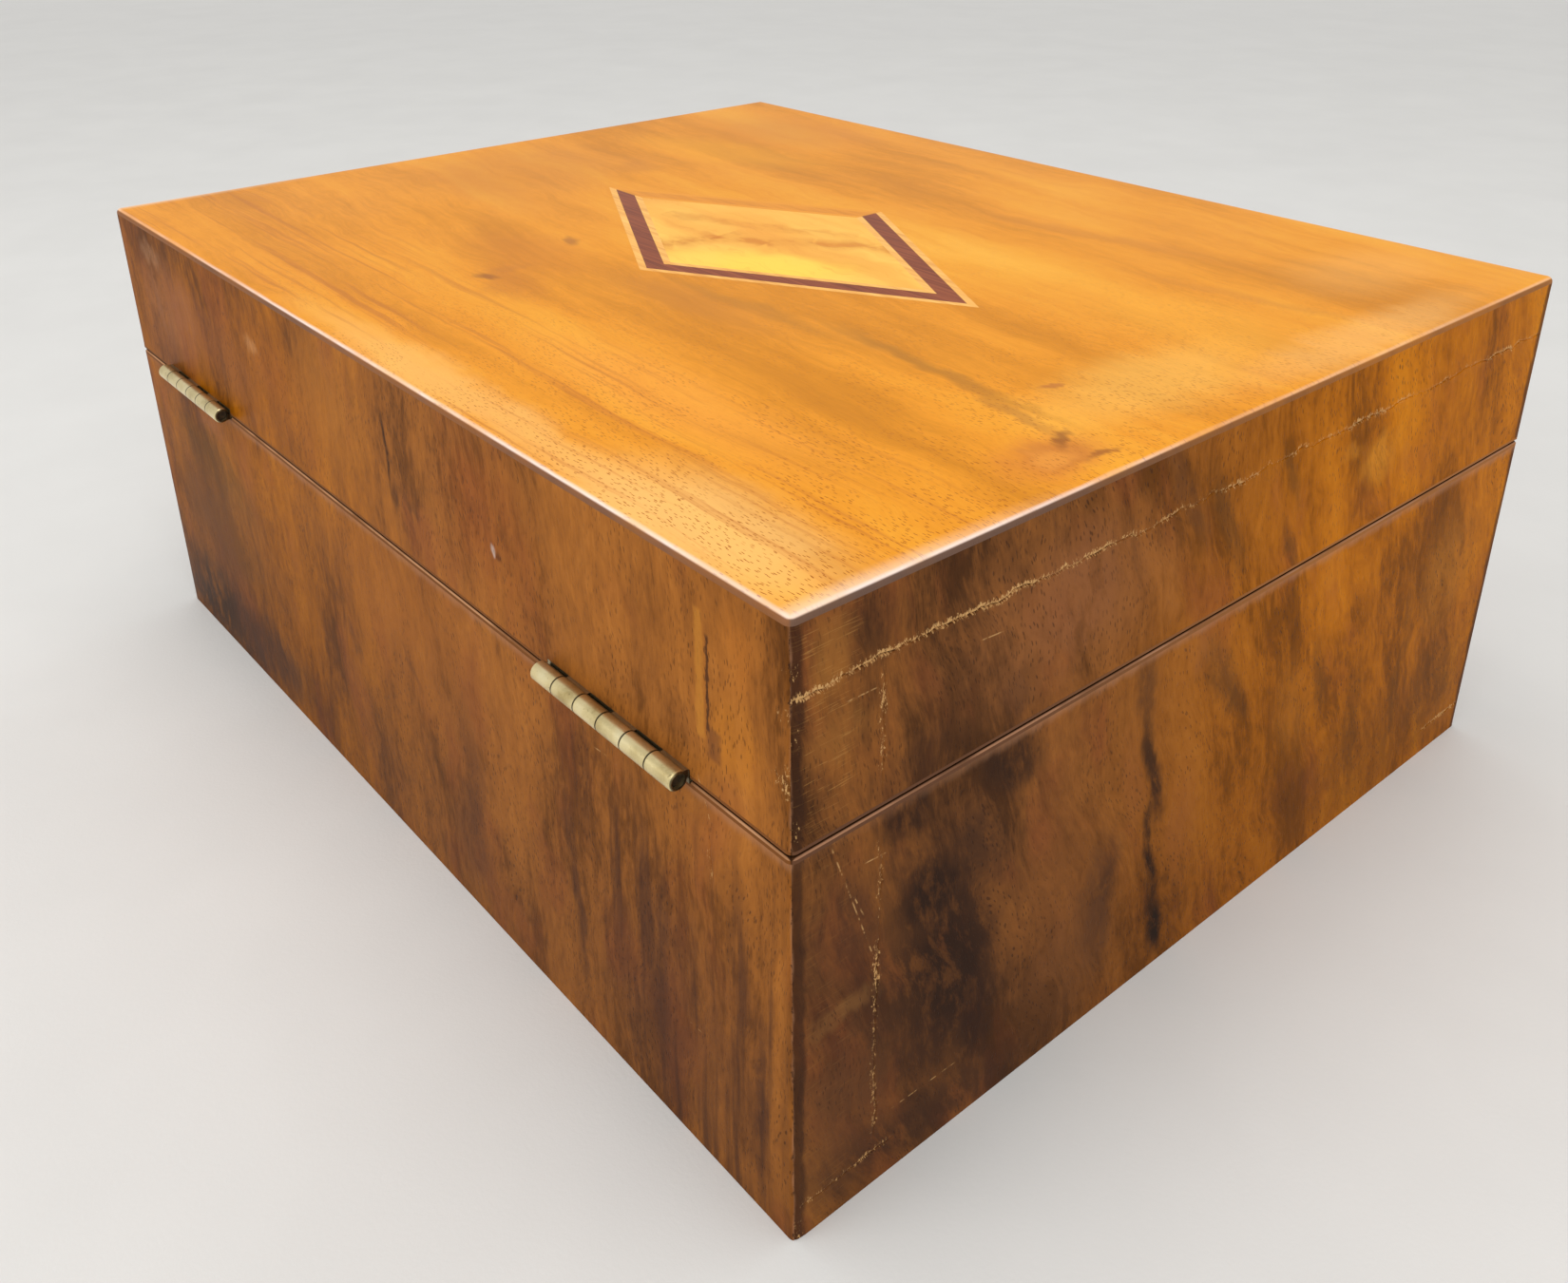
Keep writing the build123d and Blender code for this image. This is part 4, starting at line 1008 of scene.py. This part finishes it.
# The fabric is blown up from below and grows by as much as shrink_min says, so it folds beside its seams
SATIN_CLOTH = {
    "quality": 6,
    "mass": 0.1,
    "tension_stiffness": 12,
    "compression_stiffness": 12,
    "shear_stiffness": 6,
    "bending_stiffness": 0.08,
    "shrink_min": -0.12,
    "use_pressure": True,
    "uniform_pressure_force": 3.0,
}
PAD_MARGIN = 0.25
PAD_SHOULDER = 7.0  # how far in from its edges a pad rises
STITCH = 0.16  # half width of a seam, as a share of a diamond
BUTTON_RADIUS = 2.3
BUTTON_RINGS = 4
BUTTON_SIDES = 12
LINING_EDGE = 2.6  # how far in from its edges a lining is rounded
LINING_SPACING = (3.0, 2.0)  # between mesh lines along the wall and up it
LOCK_PLAY = 0.4


def quilt(x, y, half_x, half_y):
    """How near a point is to the diamond seams: 0 on a seam, 1 in the middle of a diamond."""
    u = x * PAD_CELLS[0] / (2 * half_x)
    v = y * PAD_CELLS[1] / (2 * half_y)
    return np.abs(np.sin(math.pi * (u + v))) * np.abs(np.sin(math.pi * (u - v)))


def places_of(mesh):
    """A mesh's points, in metres, as rows of three."""
    flat = np.zeros(len(mesh.vertices) * 3)
    mesh.vertices.foreach_get("co", flat)
    return flat.reshape(-1, 3)


def move_to(mesh, places):
    mesh.vertices.foreach_set("co", places.ravel())
    mesh.update()


def simulate(piece, pinned):
    """Puff the fabric up between its seams with Blender's cloth, then keep the result in the mesh."""
    group = piece.vertex_groups.new(name="stitched")
    group.add([int(i) for i in pinned], 1.0, "REPLACE")
    start = places_of(piece.data)
    cloth = piece.modifiers.new("puff", "CLOTH")
    for name, value in SATIN_CLOTH.items():
        setattr(cloth.settings, name, value)
    cloth.settings.vertex_group_mass = group.name
    cloth.settings.effector_weights.gravity = 0
    cloth.point_cache.frame_end = PAD_FRAMES
    for number in range(1, PAD_FRAMES + 1):
        bpy.context.scene.frame_set(number)
    move = places_of(piece.evaluated_get(bpy.context.evaluated_depsgraph_get()).data) - start
    far = np.linalg.norm(move, axis=1, keepdims=True)
    move = move * np.minimum(1, PUFF_LIMIT * MM / np.maximum(far, 1e-9))
    piece.modifiers.remove(cloth)
    piece.vertex_groups.remove(group)
    move_to(piece.data, start + move)
    bpy.context.scene.frame_set(1)


def quilted_pad(node, body, faces_down, material):
    """A stuffed satin pad with diamond quilting and buttons, in the room that its CAD slab holds."""
    corner_low, corner_high = low(node), high(node)
    half_x, half_y = corner_high.x - PAD_MARGIN, corner_high.y - PAD_MARGIN
    thick = corner_high.z - corner_low.z - 0.1
    lines = [np.linspace(-half, half, round(2 * half / PAD_SPACING) + 1) for half in (half_x, half_y)]
    x, y = np.meshgrid(*lines, indexing="ij")
    seam = quilt(x, y, half_x, half_y)
    border = np.minimum(half_x - np.abs(x), half_y - np.abs(y))
    shoulder = rounded(border / PAD_SHOULDER)
    puff = np.clip(seam, 0, 1) ** 0.42
    start_share = 0.62
    height = 0.18 * thick + shoulder * (0.2 + start_share * 0.6 * puff) * thick
    height = height + 0.03 * thick * ripple_over(x, y, (9, 7), 2.2) * shoulder
    sign = -1 if faces_down else 1
    held_at = corner_high.z - 0.05 if faces_down else corner_low.z + 0.05
    front = np.stack([x, y, held_at + sign * height], -1)
    back = np.stack([x, y, np.full_like(x, held_at)], -1)
    points, faces, _ = between_grids(front, back)
    piece = mesh_piece(f"{node}_quilted", points, faces, material, body, [node])
    held = (seam < STITCH) | (border < 1.0)
    pinned = np.concatenate([np.flatnonzero(held.ravel()), np.arange(x.size, 2 * x.size)])
    simulate(piece, pinned)
    room = np.array(corner_low) * MM, np.array(corner_high) * MM
    move_to(piece.data, np.clip(places_of(piece.data), *room))
    smooth = piece.modifiers.new("smooth", "SUBSURF")
    smooth.levels = 1
    smooth.render_levels = 1

    points, faces = [], []
    for i in range(-PAD_CELLS[0] * 2, PAD_CELLS[0] * 2 + 1):
        for j in range(-PAD_CELLS[1] * 2, PAD_CELLS[1] * 2 + 1):
            x = i * half_x / PAD_CELLS[0]
            y = j * half_y / PAD_CELLS[1]
            if (i + j) % 2 == 0 and abs(x) <= half_x - 8 and abs(y) <= half_y - 8:
                add_button(points, faces, (x, y, held_at + sign * 0.42 * thick), sign)
    mesh_piece(f"{node}_buttons", points, faces, material, body)


def add_button(points, faces, seat, sign):
    """A covered button where the quilting's seams cross: a low dome on its seat."""
    x, y, z = seat
    first = len(points)
    crown = first + BUTTON_RINGS * BUTTON_SIDES
    for ring in range(BUTTON_RINGS):
        angle = math.pi / 2 * ring / BUTTON_RINGS
        reach = BUTTON_RADIUS * math.cos(angle)
        rise = 1.5 * math.sin(angle) - 0.8
        for turn in np.linspace(0, 2 * math.pi, BUTTON_SIDES, False):
            points.append((x + reach * math.cos(turn), y + reach * math.sin(turn), z + sign * rise))
    points += [(x, y, z + sign * 0.7), (x, y, z - sign * 0.8)]
    for ring in range(BUTTON_RINGS - 1):
        for k in range(BUTTON_SIDES):
            a = first + ring * BUTTON_SIDES + k
            b = first + ring * BUTTON_SIDES + (k + 1) % BUTTON_SIDES
            faces.append((a, b, b + BUTTON_SIDES, a + BUTTON_SIDES))
    last = crown - BUTTON_SIDES
    for k in range(BUTTON_SIDES):
        faces.append((last + k, last + (k + 1) % BUTTON_SIDES, crown))
        faces.append((first + (k + 1) % BUTTON_SIDES, first + k, crown + 1))


def snap(line, places):
    """Move the nearest line onto each of the given places."""
    for place in places:
        line[np.argmin(np.abs(line - place))] = place


def lining_card(node, body, material, seed):
    """A wall lining: satin drawn over a thin card, soft at its edges and a little wrinkled.

    The base's front lining leaves a gap for the lock."""
    corner_low, corner_high = low(node), high(node)
    size = corner_high - corner_low
    along_x = size.x > size.y
    along, across = ("x", "y") if along_x else ("y", "x")
    length_from, length_to = getattr(corner_low, along), getattr(corner_high, along)
    near, far = getattr(corner_low, across), getattr(corner_high, across)
    sign, wall = (-1, far - 0.05) if near + far > 0 else (1, near + 0.05)
    thick = far - near - 0.1
    columns = round((length_to - length_from) / LINING_SPACING[0])
    s_line = np.linspace(length_from + 0.1, length_to - 0.1, columns + 1)
    z_line = np.linspace(corner_low.z + 0.1, corner_high.z - 0.05, round(size.z / LINING_SPACING[1]) + 1)
    has_lock = node == "base_front_lining"
    gap_end = high("lock_case").x + LOCK_PLAY
    gap_foot = low("lock_case").z - LOCK_PLAY
    if has_lock:
        snap(s_line, [-gap_end, gap_end])
        snap(z_line, [gap_foot])
    s, z = np.meshgrid(s_line, z_line, indexing="ij")
    border = np.minimum(np.minimum(s - s_line[0], s_line[-1] - s), np.minimum(z - z_line[0], z_line[-1] - z))
    keep = None
    if has_lock:
        border = np.minimum(border, np.maximum(np.maximum(np.abs(s) - gap_end, gap_foot - z), 0))
        middle_s = (s_line[:-1] + s_line[1:]) / 2
        middle_z = (z_line[:-1] + z_line[1:]) / 2
        keep = (np.abs(middle_s)[:, None] >= gap_end) | (middle_z[None, :] <= gap_foot)
    pucker = 0.5 * ripple_over(s, z, (5.5, 30), seed)
    loose = np.clip(1 - border / 14, 0, 1)
    cover = 0.42 + 0.44 * rounded(border / LINING_EDGE) + 0.12 * pucker * (0.4 + loose)
    out = wall + sign * thick * np.clip(cover, 0.25, 1)
    front = upright_grid(along_x, s, out, z)
    back = upright_grid(along_x, s, np.full_like(s, wall), z)
    points, faces, _ = between_grids(front, back, keep)
    piece = mesh_piece(f"{node}_satin", points, faces, material, body, [node])


# ---- dressing the object


def dress(nodes, material, bevel=0.0):
    """Give CAD nodes a material, and soften their edges by that many millimetres."""
    for name in nodes:
        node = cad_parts[name]
        node.data.materials.clear()
        node.data.materials.append(material)
        if bevel:
            soft = node.modifiers.new("soft_edges", "BEVEL")
            soft.width = bevel * MM
            soft.segments = 2
            soft.limit_method = "ANGLE"
            soft.angle_limit = math.radians(30)
            soft.harden_normals = True


HINGE_PLAY = 0.25  # beside each end of a hinge, in the veneer


def notch(side):
    """The gap in the back veneer over one hinge's lid leaf.

    The leaf's barrel stands lower than its plate, so the plate's upper face is read at its front."""
    leaf = f"hinge_{side}_lid_leaf"
    places = [vertex.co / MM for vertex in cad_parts[leaf].data.vertices]
    front = min(place.y for place in places)
    lintel = max(place.z for place in places if place.y < front + 1)
    return Notch(low(leaf).x - HINGE_PLAY, high(leaf).x + HINGE_PLAY, lintel)


def make_walnut():
    """The four sides' veneers, each with its own figure carried over from base to lid."""
    side = ("x", BACK_FIGURE, (FAR_SIDE_TONES, NEAR_SIDE_TONES))
    end = ("y", END_FIGURE, (NEAR_END_TONES, FAR_END_TONES))
    back = side_walnut("walnut_back", 12.0, *side, BACK_MARKS, BACK_STROKES, veins=(-85, -120))
    front = side_walnut("walnut_front", 66.0, *side, veins=(40, 90))
    left = side_walnut("walnut_left", 31.0, *end, END_MARKS, END_STROKES, strip=0.75, foot=0.22, fretted=0.5)
    right = side_walnut("walnut_right", 47.0, *end, strip=0.6, foot=0.22)

    # The cracks lie over the seams between the boards
    board_seam = HALF_Y - VENEER - (high("base_back_board").y - high("base_back_lining").y)
    top_seam = high("lid_left_board").z
    foot_seam = low("base_left_board").z
    far_end = 1 - HALF_Y
    level = [Crack(top_seam, 44, HALF_Y + 1, 1.0, 0.5, 1.3), Crack(top_seam, far_end, 46, 0.55, 0.35, 1.3)]
    upright = [Crack(board_seam, 89, 113.5, 0.42, 0.35, 2.7)]
    chips = [Chip(108, 4, 0.45, 1, 0.3), Chip(119, 4, 0.25, 1, 0.3), Chip(91, 3, 0.3, 1, 0.4)]
    side_veneer("lid_left_veneer", left, level, upright, chips=chips)
    level = [Crack(foot_seam, 96, HALF_Y - 1, 0.5, 0.4, 3.9), Crack(foot_seam, far_end, -98, 0.75, 0.4, 4.4)]
    upright = [Crack(board_seam, 11, 81, 0.48, 0.6, 5.6)]
    side_veneer("base_left_veneer", left, level, upright, chips=[Chip(2, 3, 0.25, 1, 0.5)])
    chips = [Chip(100, 4.5, 0.45, -1, 1.2), Chip(109, 3, 0.3, -1, 0.6), Chip(118, 3, 0.25, -1, 0.3)]
    side_veneer("lid_back_veneer", back, notches=[notch("left"), notch("right")], chips=chips)
    side_veneer("base_back_veneer", back, upright=[Crack(-129, 66, 85, 0.25, 0.5, 6.6)])
    side_veneer("lid_right_veneer", right, [Crack(top_seam, -60, 70, 0.45, 0.4, 7.8)])
    side_veneer("base_right_veneer", right, upright=[Crack(-board_seam, 30, 80, 0.5, 0.4, 8.8)])
    side_veneer("lid_front_veneer", front, [Crack(top_seam, 30, 120, 0.4, 0.4, 9.6)])
    dress(["base_front_veneer"], front)


def make_inlay():
    pale = [(228, 158, 78), (244, 180, 92), (254, 198, 112)]
    dark = [(112, 56, 36), (140, 74, 48), (162, 90, 58)]
    line = strip_wood("stringing", 61.5, 1.1, pale, [(234, 154, 46), (234, 154, 46)])
    band = strip_wood("dark_band", 71.5, 0.7, dark, [(216, 136, 40), (234, 152, 48)])
    dress(["inlay_outer_stringing", "inlay_inner_stringing"], line)
    dress(["inlay_dark_band"], band)
    dress(["inlay_centre_panel"], figured_panel())


def make_carcass():
    upright = pine("pine_cross", "z", "x", 91.5)
    side = pine("pine_side", "z", "y", 93.5)
    level = pine("pine_level", "y", "x", 95.5)
    for owner in ("base", "lid"):
        dress([f"{owner}_front_board", f"{owner}_back_board"], upright)
        dress([f"{owner}_left_board", f"{owner}_right_board"], side)
    dress(["base_bottom_board", "lid_top_board"], level)
    dress(["base_rim_veneer", "lid_rim_veneer"], rim_walnut())


def make_metal():
    yellow = brass()
    hinges = [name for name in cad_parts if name.startswith("hinge_")]
    dress([name for name in hinges if "lid_leaf" in name], brass("lid_leaf_brass", (150, 136, 106)), 0.12)
    dress([name for name in hinges if "base_leaf" in name], brass("base_leaf_brass", (58, 40, 24)), 0.12)
    dress([name for name in hinges if "screws" in name], yellow)
    dress([name for name in hinges if "pin" in name], dirty_pin())
    dress(["keyhole_escutcheon", "lock_cap", "lock_case", "lock_link_plate"], yellow, 0.08)
    dress(["link_plate_screws", "lock_key_post", "lock_screws"], yellow)
    dress(["lock_bolt", "lock_spring"], steel(), 0.08)


def make_linings():
    flat = satin("satin_flat", "z", 3.5)
    quilted_pad("base_floor_pad", "base", False, flat)
    quilted_pad("lid_ceiling_pad", "lid", True, flat)
    ends = satin("satin_x", "x", 5.5)
    walls = satin("satin_y", "y", 7.5)
    for number, owner in enumerate(("base", "lid")):
        for side in ("front", "back"):
            lining_card(f"{owner}_{side}_lining", owner, walls, 3.1 + number)
        for side in ("left", "right"):
            lining_card(f"{owner}_{side}_lining", owner, ends, 5.1 + number)


# ---- studio

FLOOR_REACH = 6000
FLOOR_SIDES = 96
WORLD_COLOUR = (1.0, 0.995, 0.985, 1.0)
LAMP_TARGET = (0, 0, 60)
WORLD_LEVEL = 0.68  # what lights the object
BACKGROUND_LEVEL = 0.69  # what the camera and reflections see


def make_floor():
    """A plain pale floor, a little paler far off, where the lamps no longer reach it."""
    paint = Paint("floor")
    x, y = paint.x, paint.y
    speck = paint.noise(x * 0.02, y * 0.02, 1.5, 3.0)
    paint.colour = paint.ramp(speck, (0.3, 0.7), [(224, 223, 220), (228, 227, 224)])
    away = paint.math("SQRT", x * x + y * y)
    paint.lay(away.rise(700, 3500), (250, 249, 247))
    fine = paint.noise(x * 1.2, y * 1.2, 3.5)
    material = paint.finish(fine * 0.1 + 0.6, fine, 0.05, Specular_IOR_Level=0.2)
    around = np.linspace(0, 2 * math.pi, FLOOR_SIDES, False)
    points = [(FLOOR_REACH * math.cos(a) * MM, FLOOR_REACH * math.sin(a) * MM, -0.05 * MM) for a in around]
    mesh = bpy.data.meshes.new("floor")
    mesh.from_pydata(points, [], [tuple(range(FLOOR_SIDES))])
    mesh.materials.append(material)
    floor = bpy.data.objects.new("floor", mesh)
    bpy.context.scene.collection.objects.link(floor)


def make_world():
    """A pale even surround that lights the object softly, and shows at a level of its own."""
    world = bpy.data.worlds.new("studio")
    world.use_nodes = True
    bpy.context.scene.world = world
    nodes, links = world.node_tree.nodes, world.node_tree.links
    path = nodes.new("ShaderNodeLightPath")
    seen = path.outputs["Is Camera Ray"]
    for kind in ("Is Glossy Ray", "Is Transmission Ray"):
        either = nodes.new("ShaderNodeMath")
        either.operation = "MAXIMUM"
        links.new(seen, either.inputs[0])
        links.new(path.outputs[kind], either.inputs[1])
        seen = either.outputs[0]
    level = nodes.new("ShaderNodeMapRange")
    links.new(seen, level.inputs["Value"])
    level.inputs["To Min"].default_value = WORLD_LEVEL
    level.inputs["To Max"].default_value = BACKGROUND_LEVEL
    background = nodes["Background"]
    background.inputs["Color"].default_value = WORLD_COLOUR
    links.new(level.outputs[0], background.inputs["Strength"])


def make_lamp(name, place, size, power):
    """A soft square lamp that looks at the object."""
    data = bpy.data.lights.new(name, "AREA")
    data.shape = "RECTANGLE"
    data.size, data.size_y = (side * MM for side in size)
    data.energy = power
    lamp = bpy.data.objects.new(name, data)
    lamp.location = Vector(place) * MM
    towards = Vector(LAMP_TARGET) * MM - lamp.location
    lamp.rotation_euler = towards.to_track_quat("-Z", "Y").to_euler()
    bpy.context.scene.collection.objects.link(lamp)


def make_studio():
    make_floor()
    make_world()
    make_lamp("overhead", (-100, 150, 1500), (1100, 900), 7.6)
    make_lamp("side", (-1500, 500, 700), (900, 900), 4.8)
    make_lamp("back", (400, 1500, 700), (900, 900), 4.8)
    bpy.context.scene.view_settings.view_transform = "Standard"


make_camera()
make_studio()
make_walnut()
top_veneer(top_walnut())
make_inlay()
make_carcass()
make_metal()
make_linings()
